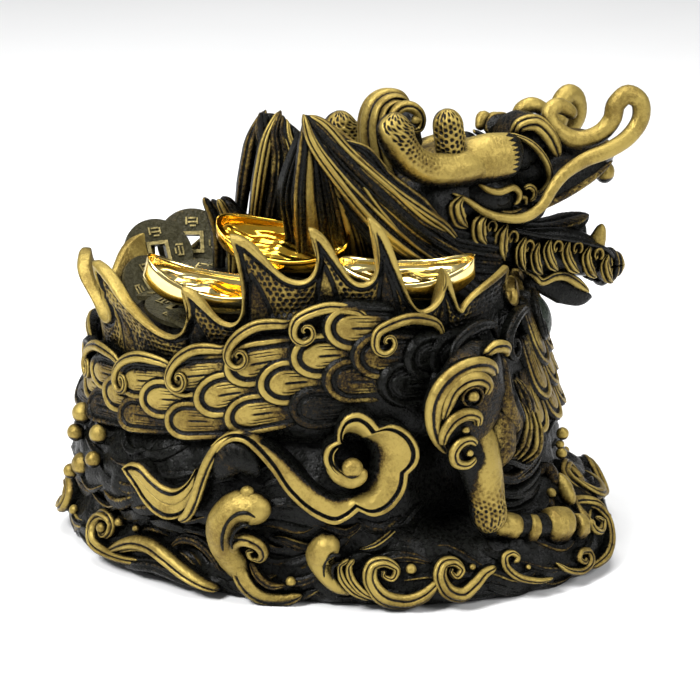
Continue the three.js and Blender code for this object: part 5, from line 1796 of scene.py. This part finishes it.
    def nose(self) -> None:
        """Carve the wings of the nose, ridged arcs that fold over the jaw, and the curls on its bridge."""
        for side in (1, -1):
            self.strand([(6.6, 9.6, 26.4), (9.6, 12, 25.4), (13.6, 13.4, 23.0), (17.5, 13.8, 18.8),
                         (20.1, 13.6, 13.8), (20.4, 13.4, 10.4), (17.9, 13.2, 7.2), (13.9, 13, 6.2)],
                        [0.6, 0.9, 1.1, 1.2, 1.2, 1.1, 1.0, 0.7], [2, 2.6, 2.8, 2.6, 2], side=side, steps=90,
                        cap=0.06, ridges=(0.6, 0.4))
            self.strand([(11.0, 7.0, 26.0), (12.5, 9, 28.7), (16.7, 10, 28.9), (20.0, 11.2, 25.9),
                         (22.3, 12.2, 21.6), (23.8, 12.6, 17.4)], [1.6, 2.6, 3.0, 3.0, 2.6, 1.4],
                        [3, 4, 4.2, 4, 3], side=side, steps=70,
                        ridges=(0.42, 0.3, 0.28), groove=0.36, cap=0.1)
            self.strand([(8, 9, 20), (13, 10, 20), (17, 9.6, 15)], [5, 6.6, 5], [2.6, 3, 2.6], side=side,
                        gilt=0.05, fineness=24, cap=0.3)
        for curl_path in ([(8.2, 10, 27), (9.6, 11, 31), (11.4, 12, 30.6), (12, 12, 28)],
                          [(12.4, 12, 28), (14, 12, 30.4), (16, 12, 29.6), (16.8, 12, 27)]):
            self.strand(curl_path, [1.4, 2.0, 2.0, 1.2], 2.0, UPWARD, side=-1, steps=30, side_gilt=-1.2)

    def eyes(self) -> None:
        """Carve each eye in its dark socket, under a gilt lid, with small folds at its corner."""
        for side in (1, -1):
            self.strand([(-10, 12, 11), (0, 14.6, 8.2), (10, 13, 7)], [4.5, 6, 5], [3, 4, 3], side=side,
                        gilt=0.0, fineness=18, cap=0.3)
            self.strand([(-3.4, 15.4, 7.4), (1.6, 16.4, 6.4), (6.4, 15.8, 6.0)], [1.8, 2.6, 1.6],
                        [2, 2.6, 2], side=side, gilt=0.12, fineness=22, cap=0.3)
            self.strand([(-5.9, 17.6, 12.3), (-2.6, 18.2, 10.0), (0.8, 18.6, 9.0), (3.6, 18.4, 9.5),
                         (5.8, 18, 9.8), (8.0, 17.6, 8.1), (8.1, 17, 5.6), (6.6, 16.6, 4.2)],
                        [0.7, 1.1, 1.2, 1.2, 1.1, 1.0, 0.9, 0.6], 1.5, side=side, steps=60, fineness=10)
            self.strand([(10.3, 15.6, 8.9), (12.4, 15.6, 9.4), (14.4, 15.2, 8.0), (14.4, 15, 5.6),
                         (12.8, 15, 4.6)],
                        [0.7, 1.1, 1.2, 1.0, 0.7], 1.6, side=side, steps=40, ridges=(0.5, 0.5))
            self.strand([(9.2, 16, 6.4), (11.2, 15.6, 5.8), (11.6, 15.4, 3.6)], [0.6, 0.9, 0.6], 1.4,
                        side=side, steps=24)
            self.strand([(2, 17, 2.6), (6, 17, 1.8), (10, 16, 2.6)], [0.5, 0.9, 0.5], 1.2, side=side,
                        gilt=0.6)

    def build(self, finishes: Finishes) -> None:
        """Carve and dress the skull.

        Args:
            finishes: The materials.
        """
        self.bones()
        self.mouth()
        self.jaw_strokes()
        self.beard()
        self.nose()
        self.eyes()
        self.dress(finishes)


class Horns(HeadPart):
    """The pitted horns and prongs, the brows that they grow from and the curled crest."""

    def build(self, finishes: Finishes) -> None:
        """Carve and dress both sides and the crest.

        Args:
            finishes: The materials.
        """
        up_and_out = towards((math.sin(HEAD_YAW) * 0.3, -math.cos(HEAD_YAW) * 0.3, 1))
        for side in (1, -1):
            self.strand([(0, 13, 18.0), (-5, 15.4, 18.0), (-11, 17.0, 18.0), (-17, 18, 17.8),
                         (-23.4, 18.5, 18.6), (-29.6, 19, 22.4), (-33.6, 19.6, 27.6), (-35.2, 20, 32.2),
                         (-35.6, 20, 37.4)],
                        [4, 5.2, 5.6, 5.4, 5.2, 5.2, 5.5, 5.9, 5.4],
                        [4, 5.2, 5.6, 5.4, 5.2, 5.2, 5.5, 5.9, 5.4], up_and_out, side=side, cap=0.16,
                        fineness=62, steps=112, side_gilt=-0.55, shade=self.upper_side,
                        pits=[0, 0, 0, 0.1, 0.2, 0.4, 0.8, 1, 1])
            self.strand([(-12.4, 14, 14), (-13.8, 14.6, 22), (-14.9, 15, 29), (-15.6, 15, 36.6)],
                        [5, 4.7, 4.9, 4.8], [5, 4.7, 4.9, 4.8], side=side, pits=[0.3, 0.9, 1, 1], cap=0.24,
                        fineness=56, steps=72, side_gilt=-0.6)
            self.strand([(-16, 10, 16), (-9, 13.4, 18.8), (-1, 14.8, 19.8), (6, 14.6, 19.8), (10, 14, 19.2)],
                        [5.2, 7.2, 7.6, 7.0, 5.4], [5, 6.4, 6.6, 6, 4], side=side, cap=0.2, fineness=86,
                        steps=92, side_gilt=-0.3, shade=self.toothed)
        self.strand([(-30, 0, 12), (-32.6, 0, 24), (-33.4, 0, 34.0), (-31.6, 0, 39.0), (-28.0, 0, 41.0),
                     (-24.0, 0, 40.2), (-21.6, 0, 37.4)], [7, 6.6, 6, 5.4, 5, 4.6, 3.6],
                    [3, 2.6, 2.4, 2.3, 2.2, 1.8], self.from_crest,
                    ridges=(0.2, 0.3, 0.3, 0.2), groove=0.6, steps=70, cap=0.06)
        self.strand([(-30, 3.5, 33), (-28.3, 4.0, 36.4), (-26.2, 4.6, 38.0), (-23.4, 5.0, 37.8),
                     (-20.9, 5.0, 35.8), (-20.0, 5.0, 33.0), (-20.8, 5.0, 30.6), (-22.8, 5.0, 30.6),
                     (-23.2, 5, 32.6)],
                    [1.6, 2.0, 2.1, 2.0, 1.9, 1.7, 1.4, 1.1, 0.8], [3, 4, 4, 3.4, 2.6], steps=70,
                    ridges=(0.5, 0.5), cap=0.05)
        self.knob((-21.4, 6.4, 33.6), 1.9)
        self.dress(finishes)

    @staticmethod
    def upper_side(points: Array) -> Array:
        """Share of the gold on the horns: golden above a line along their sides, and black below it."""
        forward, side, up = from_head(points)
        line = np.interp(forward, [-36.3, -33, -26.5, -16.6, -10, -1.6, 5],
                         [22.6, 18.5, 16.3, 16, 14.5, 13.7, 14.5])
        return blend(line - 1.2, line + 1.4, up + 0.52 * (np.abs(side) - 15))

    @staticmethod
    def toothed(points: Array) -> Array:
        """Share of the gold on the brows: it fades out below and ends in front in a row of sharp teeth."""
        forward, _, up = from_head(points)
        tooth = np.abs((up / 1.5) % 1 - 0.5) * 2
        limit = 4.6 + 2.4 * tooth - 0.02 * (up - 20) ** 2
        return blend(limit + 0.2, limit - 0.2, forward) * blend(12.4, 15.6, up)

    @staticmethod
    def from_crest(points: Array) -> Array:
        """Directions away from the middle of the crest's curl."""
        away = points - in_head(-26, 0, 31)
        return unit(away + 0.35 * HEAD_SIDE(points) * np.linalg.norm(away, axis=-1, keepdims=True))


class Whiskers(HeadPart):
    """The thick whiskers: from the cheek along the lip, forward past the snout and back over it in a loop."""

    def build(self, finishes: Finishes) -> None:
        """Carve and dress both whiskers.

        Args:
            finishes: The materials.
        """
        near = [(-14.2, 16.6, 10.2), (-9.6, 17.4, 7.5), (-4.1, 18.2, 3.3), (1.7, 18.6, 0.8),
                (9.7, 18.6, -0.1), (15.8, 18.4, 2.9), (19.8, 18.2, 8.5), (23.6, 18.4, 12.5),
                (30.3, 19, 16.1), (37.8, 20, 18.4), (44.6, 20.4, 22.1), (48.7, 20.4, 27.6), (48.3, 20, 33.0),
                (44.6, 19, 35.4), (41.3, 18, 32.8), (40.4, 17, 27.8), (36.6, 15.8, 23.6), (30.6, 13.8, 22.2),
                (26.0, 12, 24.4), (22.9, 10.4, 28.2), (22.7, 9.4, 32.0), (25.8, 8.6, 33.5),
                (30.0, 8.4, 31.5), (32.0, 8, 29.0)]
        width = [0.6, 0.9, 1.2, 1.4, 1.6, 1.7, 1.9, 2.05, 2.3, 2.55, 2.75, 2.9, 3.0, 3.1, 3.1, 3.0, 3.0, 2.9,
                 2.9, 2.8, 2.7, 2.6, 2.3, 1.8]
        for side in (1, -1):
            self.strand(near, width, width, side=side, steps=150, cap=0.03, fineness=16,
                        side_gilt=0.45 * side - 0.95)
        self.dress(finishes)


class Mane(HeadPart):
    """The mane: fine locks that sweep back from the cheek, rise to points and fall into the bowl."""

    def tress(self, path: Sequence[Sequence[float]], width: object, depth: object, side: int = 1,
              strands: int = 5, seed: int = 0, gilt: object = 0.55, steps: int = 60) -> None:
        """Carve one lock of uneven fine strands.

        Args:
            path: Places as forward, side and up.
            width: Half width as keys.
            depth: Half depth as keys.
            side: 1 near and -1 far.
            strands: Number of strands.
            seed: Seed of the strands' widths.
            gilt: How golden it is.
            steps: Rows along it.
        """
        rng = np.random.default_rng(seed)
        ridges = rng.uniform(0.5, 1.4, strands)
        share = np.where(rng.uniform(size=strands) < 0.62, rng.uniform(0.8, 1.3, strands),
                         rng.uniform(0.2, 0.6, strands))
        self.strand(path, width, depth, side=side, ridges=tuple(ridges), groove=0.36, gilt=gilt, steps=steps,
                    cap=0.08, fineness=5, ridge_gilt=share)

    def near_side(self, side: int) -> None:
        """Carve one side of the mane, from the cheek to its two points.

        Args:
            side: 1 near and -1 far.
        """
        under = [[(6, 11, -13), (-18, 13, -6), (-33, 14, 4), (-47, 14, 18), (-58, 13, 32)],
                 [12, 13.5, 11.5, 8, 3], [6, 7, 7, 5, 2.6]]
        self.tress(under[0], under[1], under[2], side, 13, 3, 0.25)
        rng = np.random.default_rng(7)
        low = np.array([(8.7, 12, -23.4), (-7.3, 16, -22), (-23, 18.5, -13), (-40.8, 20, 1.8),
                        (-53.9, 20, 18.7), (-62.0, 18, 32.0), (-63.4, 16, 39.6)])
        high = np.array([(-14, 16, -3.6), (-19, 18.0, 1.5), (-26.5, 19.6, 7.8), (-37.5, 20.5, 17.0),
                         (-49.7, 18.4, 28.6), (-57, 17, 35.4), (-61.6, 16, 38.8)])
        for k, share in enumerate(np.linspace(0, 1, 11)):
            path = low + (high - low) * share
            path[1:-1, 2] += rng.uniform(-1.1, 1.1, 5)
            path[:, 1] += rng.uniform(-0.8, 1.2)
            path = path[0 if k % 2 else 1:]
            wide = rng.uniform(1.9, 3.0)
            self.tress(path, [0.5 * wide, wide, wide, wide, wide * 0.9, wide * 0.4], [1.6, 3, 3, 3, 2.4, 1],
                       side, int(rng.integers(2, 5)), 20 + k, float(rng.uniform(0.4, 1.0)))
        swept = [[(-51.7, 19, 30.3), (-44.5, 19, 26.5), (-37.2, 19, 17.5), (-27.4, 19, 7.3), (-14, 18, -4.3)],
                 [(-51.7, 19, 28), (-46.9, 20, 24.5), (-42, 20, 15), (-31.4, 20, 4.7), (-24.8, 20, -3)],
                 [(-51.2, 19, 25), (-48, 20, 18.6), (-41.6, 20.5, 8.8), (-31.8, 20.5, -2.3)]]
        for k, path in enumerate(swept):
            self.tress(path[::-1], [0.7, 1.9, 2.2, 1.8, 0.7], [1.4, 2.8, 3, 2.4, 1], side, 3, 40 + k, 0.95)

    def falling(self) -> None:
        """Carve the hair that falls from the points into the bowl."""
        rng = np.random.default_rng(9)
        self.tress([(-59, 12, 34), (-57, 4, 16), (-50, -4, 0), (-46, -8, -18)], [4, 10, 13, 14],
                   [4, 8, 10, 10], 1, 15, 5, 0.25)
        for k in range(9):
            share = k / 8
            tip = np.array([-62 + 4 * share, 15.5 - 2 * share, 37.5 - 4 * share])
            foot = np.array([-57 + 28 * share, 2 + 6 * share, -12 - 4 * share])
            middle = tip * 0.45 + foot * 0.55 + [-3 + 3 * share, 4.5, 4]
            path = [tip, tip * 0.7 + middle * 0.3 + [0, 1, 0], middle, foot]
            wide = rng.uniform(1.8, 2.8)
            self.tress(path, [wide * 0.4, wide, wide * 1.2, wide], [1, 2.6, 3, 2.4], 1,
                       int(rng.integers(2, 5)), 50 + k, float(rng.uniform(0.35, 0.9)))

    def back_locks(self) -> None:
        """Carve the tall tuft that stands behind the nape and the low one beside it."""
        bodies = [[(-46, -18, -18), (-59, -18, 8), (-57, -16, 35), 9],
                  [(-40, -16, -18), (-52, -17, 8), (-53, -15, 31), 8],
                  [(-50, -22, -20), (-66, -22, -1), (-75, -20, 14), 6]]
        for k, (root, middle, tip, wide) in enumerate(bodies):
            self.tress([root, middle, tip], [wide * 0.8, wide, wide * 0.8, wide * 0.3], [5, 6, 5, 1.6], 1, 9,
                       70 + k, 0.3)
        rng = np.random.default_rng(13)
        strokes = [
            [(-66.6, -16, 2), (-66, -14, 13.4), (-65.0, -13, 22), (-62.6, -13, 32), (-58.4, -13.6, 39.4)],
            [(-63.4, -14, -4), (-62.6, -12.4, 8), (-61.4, -11.4, 17), (-60.8, -11.4, 26), (-61.0, -12, 33),
             (-58.2, -13, 39.8)],
            [(-59.6, -13, -8), (-59.0, -11.4, 6.8), (-58.9, -10.4, 16), (-57.8, -10.6, 25.2),
             (-58.8, -11.6, 33), (-57.6, -13, 38.2)],
            [(-56.4, -13, -8), (-56.9, -11, 5.5), (-55.8, -10.2, 15.2), (-55.6, -10.2, 24),
             (-57.2, -11.6, 32), (-56.6, -13, 37)],
            [(-50, -13, -12), (-52.9, -10.8, 2), (-52.2, -9.8, 13), (-52.4, -10, 24), (-54.6, -12, 34)],
            [(-46, -13, -12), (-49.4, -10.6, 0), (-49.2, -9.8, 11), (-50.2, -10.4, 22), (-53, -12.4, 33)],
            [(-43, -12, -12), (-45.8, -10.4, -2), (-46.8, -9.8, 9), (-48.4, -10.4, 19), (-51.4, -12.4, 30)],
            [(-72, -20, -14), (-72.4, -18.4, -2), (-74.0, -17.6, 6), (-77.0, -18.6, 13.6)],
            [(-67, -19, -14), (-68.2, -17.4, -2), (-70.6, -16.8, 6), (-74.6, -18, 12.8)],
        ]
        for k, path in enumerate(strokes):
            wide = rng.uniform(1.7, 2.4)
            self.tress(path, [wide * 0.8, wide, wide, wide * 0.5], [2, 2.8, 2.6, 1], 1,
                       int(rng.integers(2, 4)), 80 + k, float(rng.uniform(0.45, 1.0)))
            mirrored = [(f, d - 12.0, u) for f, d, u in path]
            self.tress(mirrored, [wide * 0.8, wide, wide, wide * 0.5], [2, 2.8, 2.6, 1], 1, 3, 95 + k, 0.5)

    def build(self, finishes: Finishes) -> None:
        """Carve and dress the mane.

        Args:
            finishes: The materials.
        """
        for side in (1, -1):
            self.near_side(side)
        self.falling()
        self.back_locks()
        self.dress(finishes)


@dataclass
class NeckAndPearl:
    """The throat and the nape that carry the head, and the pearl behind them at the right."""

    carving: Carving = field(default_factory=lambda: Carving("neck"))

    def build(self, finishes: Finishes) -> None:
        """Carve and dress the neck and the pearl.

        Args:
            finishes: The materials.
        """
        throat = [on_coil(75, 52, -12), on_coil(80, 70, -18), on_coil(85, 84, -32), in_head(-10, 0, -6)]
        sweep(self.carving, throat, [18, 17, 17, 15], [10, 13, 16, 13], away_from_coil, gilt=0.2, cap=0.2,
              ridges=(1,) * 7, groove=0.14)
        nape = [np.array([0.0, 8, 68]), np.array([5.0, 6, 86]), in_head(-20, 0, -2)]
        sweep(self.carving, nape, [14, 15, 15], [14, 15, 13], HEAD_SIDE, gilt=0.2, cap=0.25, ridges=(1,) * 9,
              groove=0.14)
        dress(self.carving.make(), finishes.antique, "antique_gold", CASTING)
        bpy.ops.object.select_all(action="DESELECT")
        bpy.ops.mesh.primitive_uv_sphere_add(segments=64, ring_count=40, radius=0.011)
        pearl = bpy.context.active_object
        pearl.name = "dark_pearl"
        pearl.data.transform(Matrix.Translation((0.058, 0.012, 0.0645)))
        bpy.ops.object.shade_smooth()
        dress(pearl, finishes.pearl, "antique_gold", CASTING)


# Treasure


@dataclass
class CoinHoard:
    """The cash coins that are cast into the bowl, over a heap of more coins."""

    radius: float = 12.0
    thickness: float = 2.2
    hole: float = 5.0
    proud: tuple = ((-57.5, 36, 80.5, 25, 35), (-47, 46, 81, 7, 30), (-58, 22, 73, 48, 42),
                    (-14, 46, 75, -14, 34))

    def coin(self) -> Cast:
        """Model one coin: a disc with a square hole, raised rims and rows of short strokes.

        Returns:
            The shape, in millimetres, flat at the origin.
        """
        bpy.ops.object.select_all(action="DESELECT")
        h = self.thickness / 2
        bpy.ops.mesh.primitive_cylinder_add(vertices=72, radius=self.radius, depth=self.thickness,
                                            end_fill_type="NGON")
        disc = bpy.context.active_object
        bpy.ops.object.mode_set(mode="EDIT")
        bpy.ops.mesh.select_all(action="DESELECT")
        bpy.ops.object.mode_set(mode="OBJECT")
        for face in disc.data.polygons:
            face.select = abs(face.normal.z) > 0.9
        bpy.ops.object.mode_set(mode="EDIT")
        bpy.ops.mesh.inset(thickness=0.35, depth=0.3)
        bpy.ops.mesh.inset(thickness=1.3, depth=0)
        bpy.ops.mesh.inset(thickness=0.3, depth=-0.75)
        bpy.ops.object.mode_set(mode="OBJECT")
        cutter = self.block((self.hole, self.hole, 8), (0, 0, 0))
        self.join(disc, cutter, "DIFFERENCE")
        for side in (1, -1):
            rim = self.block((self.hole + 2.4, self.hole + 2.4, 0.6), (0, 0, side * (h - 0.25)))
            self.join(rim, self.block((self.hole, self.hole, 3), (0, 0, side * h)), "DIFFERENCE")
            self.join(disc, rim, "UNION")
            for turn in range(4):
                for x, y, length, wide in ((-1.7, 7.3, 0.6, 2.6), (0.2, 8.2, 2.4, 0.55),
                                           (0.2, 6.9, 2.8, 0.55), (0.4, 5.6, 2.0, 0.55),
                                           (1.9, 7.2, 0.55, 2.2)):
                    stroke = self.block((length, wide, 0.5), (0, 0, 0))
                    place = Matrix.Translation((x, y, side * (h - 0.28)))
                    stroke.data.transform(Matrix.Rotation(turn * math.pi / 2, 4, "Z") @ place)
                    self.join(disc, stroke, "UNION")
        return Cast.of(disc, lambda p: 0.15 + 0.75 * blend(h - 0.35, h - 0.05, np.abs(p[:, 2])) + 0.7 * blend(
            self.radius - 0.6, self.radius - 0.1, np.hypot(p[:, 0], p[:, 1])))

    @staticmethod
    def block(size: Sequence[float], place: Sequence[float]) -> bpy.types.Object:
        """Add a small block.

        Args:
            size: Its sides.
            place: Its middle.

        Returns:
            The block.
        """
        bpy.ops.object.select_all(action="DESELECT")
        bpy.ops.mesh.primitive_cube_add(size=1)
        block = bpy.context.active_object
        block.data.transform(Matrix.Translation(place) @ Matrix.Diagonal((*size, 1)))
        return block

    @staticmethod
    def join(target: bpy.types.Object, tool: bpy.types.Object, how: str) -> None:
        """Cut or join a tool into a target and remove the tool.

        Args:
            target: The shape that stays.
            tool: The shape that cuts or joins it.
            how: The Boolean modifier's operation.
        """
        bpy.context.view_layer.objects.active = target
        modifier = target.modifiers.new("shape", "BOOLEAN")
        modifier.operation, modifier.object, modifier.solver = how, tool, "EXACT"
        bpy.ops.object.modifier_apply(modifier=modifier.name)
        bpy.data.objects.remove(tool)

    def poses(self) -> list[tuple[float, float, float, float, float]]:
        """Places of all coins: x, y, z, turn and lean from upright."""
        rng = np.random.default_rng(21)
        heap = []
        for k in range(34):
            angle, reach = rng.uniform(0, 2 * math.pi), math.sqrt(rng.uniform(0.02, 1))
            x, y = -8 + 52 * reach * math.cos(angle), -4 + 42 * reach * math.sin(angle)
            height = 84.5 - 11 * reach**3 + rng.uniform(-1.5, 0.8)
            if not (x > 5 and y > -8):
                heap.append((x, y, height, rng.uniform(0, 360), rng.uniform(70, 88)))
        return [*self.proud, *heap]

    def build(self, finishes: Finishes) -> None:
        """Carve and dress the hoard on its bed.

        Args:
            finishes: The materials.
        """
        bed = Carving("treasure_bed")
        degrees = np.linspace(-180, 180, 97)[:-1]
        profile = [(-19, 46), (-14.5, 56), (-10, 68), (-16, 75), (-26, 79), (-40, 84.2), (-52, 85)]
        rows = [on_coil(degrees, z, out) for out, z in profile]
        low = rows[0] * [0, 0, 1] + [-8, -8, 0]
        top = rows[-1] * [0, 0, 1] + [-8, -8, 0.6]
        grid = np.stack([low, *rows, top])
        bed.add_grid(grid[::-1], np.full(grid.shape[:2], 0.3))
        dress(bed.make(), finishes.antique, "antique_gold", CASTING)
        coin = self.coin()
        hoard = Carving("cash_coins")
        for x, y, z, turn, lean in self.poses():
            turned = Matrix.Rotation(math.radians(turn), 4, "Z")
            leaned = Matrix.Rotation(math.radians(90 - lean), 4, "X")
            hoard.add_mesh(coin, Matrix.Translation((x, y, z)) @ turned @ leaned)
        piece = hoard.make()
        piece.data.shade_flat()
        dress(piece, finishes.brass, "antique_gold", CASTING)


class Plating(Enum):
    """Which plating a loose ingot has."""

    PALE = "pale_gold_plate"
    DEEP = "deep_gold_plate"


@dataclass
class Ingot:
    """A loose boat-shaped ingot with turned-up ends, a domed middle and a field of generic relief."""

    node: str
    place: tuple
    turn: float
    roll: float
    pitch: float
    plating: Plating
    half_length: float = 20.5
    half_width: float = 10.0
    height: float = 13.0
    stations: int = 72

    def grid(self) -> tuple[Array, Array]:
        """The ingot's surface, from end to end and round its section.

        Returns:
            Points in millimetres as rows of stations, and how gilt each is.
        """
        s = np.cos(np.linspace(0, math.pi, self.stations))[::-1]
        around = []
        outer, inner = np.linspace(0, math.pi, 29), np.linspace(math.pi, 0, 41)
        width = self.half_width * (1 - s**2) ** 0.45
        sheer = self.height * (0.62 + 0.38 * s**2)
        keel = 6.5 * s**4
        floor = keel + 0.46 * (sheer - keel) * (1 - 0.3 * s**2)
        for row, w, top, bottom, deep in zip(s, width, sheer, keel, floor):
            hull = [(w * math.cos(a), top - (top - bottom) * math.sin(a) ** 0.8) for a in outer]
            well = []
            for a in inner:
                y = 0.86 * w * math.cos(a)
                dip = (top - deep) * math.sin(a) ** 0.55
                dome = 3.2 * math.exp(-((row / 0.42) ** 2) - (y / 5.2) ** 2) if w > 1 else 0
                curl = 0.6 * math.sin(11 * row + 0.9 * y) * math.sin(1.2 * y - 6 * row) * math.sin(a) ** 2
                well.append((y, top + 0.25 - dip + dome + curl))
            around.append([(row * self.half_length, y, z) for y, z in hull + well])
        points = np.array(around)
        return points, np.ones(points.shape[:2])

    def build(self, finishes: Finishes) -> None:
        """Make, place and dress the ingot.

        Args:
            finishes: The materials.
        """
        points, tone = self.grid()
        shape = Carving(f"{self.node}_plated")
        turned = Matrix.Rotation(math.radians(self.turn), 4, "Z")
        pitched = Matrix.Rotation(math.radians(self.pitch), 4, "Y")
        rolled = Matrix.Rotation(math.radians(self.roll), 4, "X")
        matrix = np.array(Matrix.Translation(self.place) @ turned @ pitched @ rolled)
        points = points @ matrix[:3, :3].T + matrix[:3, 3]
        shape.add_grid(points, tone)
        piece = shape.make()
        finish = finishes.pale if self.plating is Plating.PALE else finishes.deep
        dress(piece, finish, self.plating.value, self.node)


INGOTS = (
    Ingot("left_ingot", (-39, -33, 83.2), 6, 8, 13, Plating.PALE),
    Ingot("middle_ingot", (-16, -19, 93.5), -8, 24, 6, Plating.DEEP),
    Ingot("right_ingot", (22, -34.5, 86.8), -4, 6, -2, Plating.PALE),
)


@dataclass
class Studio:
    """The floor, the lights and the camera, which stands where the photograph was taken from."""

    lens: float = 146.94
    eye: tuple = (0.0047, -0.85595, 0.3371)
    eye_pitch: float = 72.0
    air: float = 0.25

    def floor(self, finishes: Finishes) -> None:
        """Lay the pale floor."""
        bpy.ops.object.select_all(action="DESELECT")
        bpy.ops.mesh.primitive_plane_add(size=6, location=(0, 0, -0.0002))
        floor = bpy.context.active_object
        floor.name = "studio_floor"
        bpy.ops.object.transform_apply(location=True)
        floor.data.materials.append(finishes.floor)

    def light(self, name: str, place: Sequence[float], size: float, power: float) -> None:
        """Hang one soft light that looks at the figurine.

        Args:
            name: Its name.
            place: Where it hangs, in metres.
            size: Side of its square, in metres.
            power: Its power in watts.
        """
        data = bpy.data.lights.new(name, "AREA")
        data.size, data.energy = size, power
        lamp = bpy.data.objects.new(name, data)
        lamp.location = place
        lamp.rotation_euler = (Vector((0, 0, 0.06)) - Vector(place)).to_track_quat("-Z", "Y").to_euler()
        bpy.context.scene.collection.objects.link(lamp)

    def build(self, finishes: Finishes) -> None:
        """Set up the studio.

        Args:
            finishes: The materials.
        """
        scene = bpy.context.scene
        self.floor(finishes)
        world = bpy.data.worlds.new("studio_air")
        world.use_nodes = True
        sky = world.node_tree.nodes["Background"]
        sky.inputs[0].default_value = (0.98, 0.99, 1.0, 1)
        sky.inputs[1].default_value = self.air
        scene.world = world
        self.light("key_light", (-0.5, -0.5, 0.75), 0.3, 12)
        self.light("fill_light", (0.75, -0.5, 0.6), 0.35, 5)
        self.light("top_light", (0.0, 0.15, 1.1), 0.8, 14)
        scene.view_settings.view_transform = "Standard"
        camera = bpy.data.cameras.new("photo_camera")
        camera.lens, camera.sensor_width = self.lens, 36
        camera.clip_start, camera.clip_end = 0.01, 20
        eye = bpy.data.objects.new("photo_camera", camera)
        eye.location = self.eye
        eye.rotation_euler = (math.radians(self.eye_pitch), 0, 0)
        scene.collection.objects.link(eye)
        scene.camera = eye


def main() -> None:
    """Build the scene in order."""
    logging.basicConfig(level=logging.INFO, format="%(message)s")
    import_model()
    finishes = Finishes()
    Studio().build(finishes)
    ball = modelled_ball()
    CoiledBody().build(finishes)
    ScrollChain().build(finishes)
    FinRim().build(finishes)
    WavePlinth(ball).build(finishes)
    LuckyCloud(ball).build(finishes)
    Foreleg(ball).build(finishes)
    NeckAndPearl().build(finishes)
    Skull("skull", ball).build(finishes)
    Horns("horns_and_crest", ball).build(finishes)
    Whiskers("whiskers", ball).build(finishes)
    Mane("mane", ball).build(finishes)
    CoinHoard().build(finishes)
    for ingot in INGOTS:
        ingot.build(finishes)


if __name__ == "__main__":
    main()
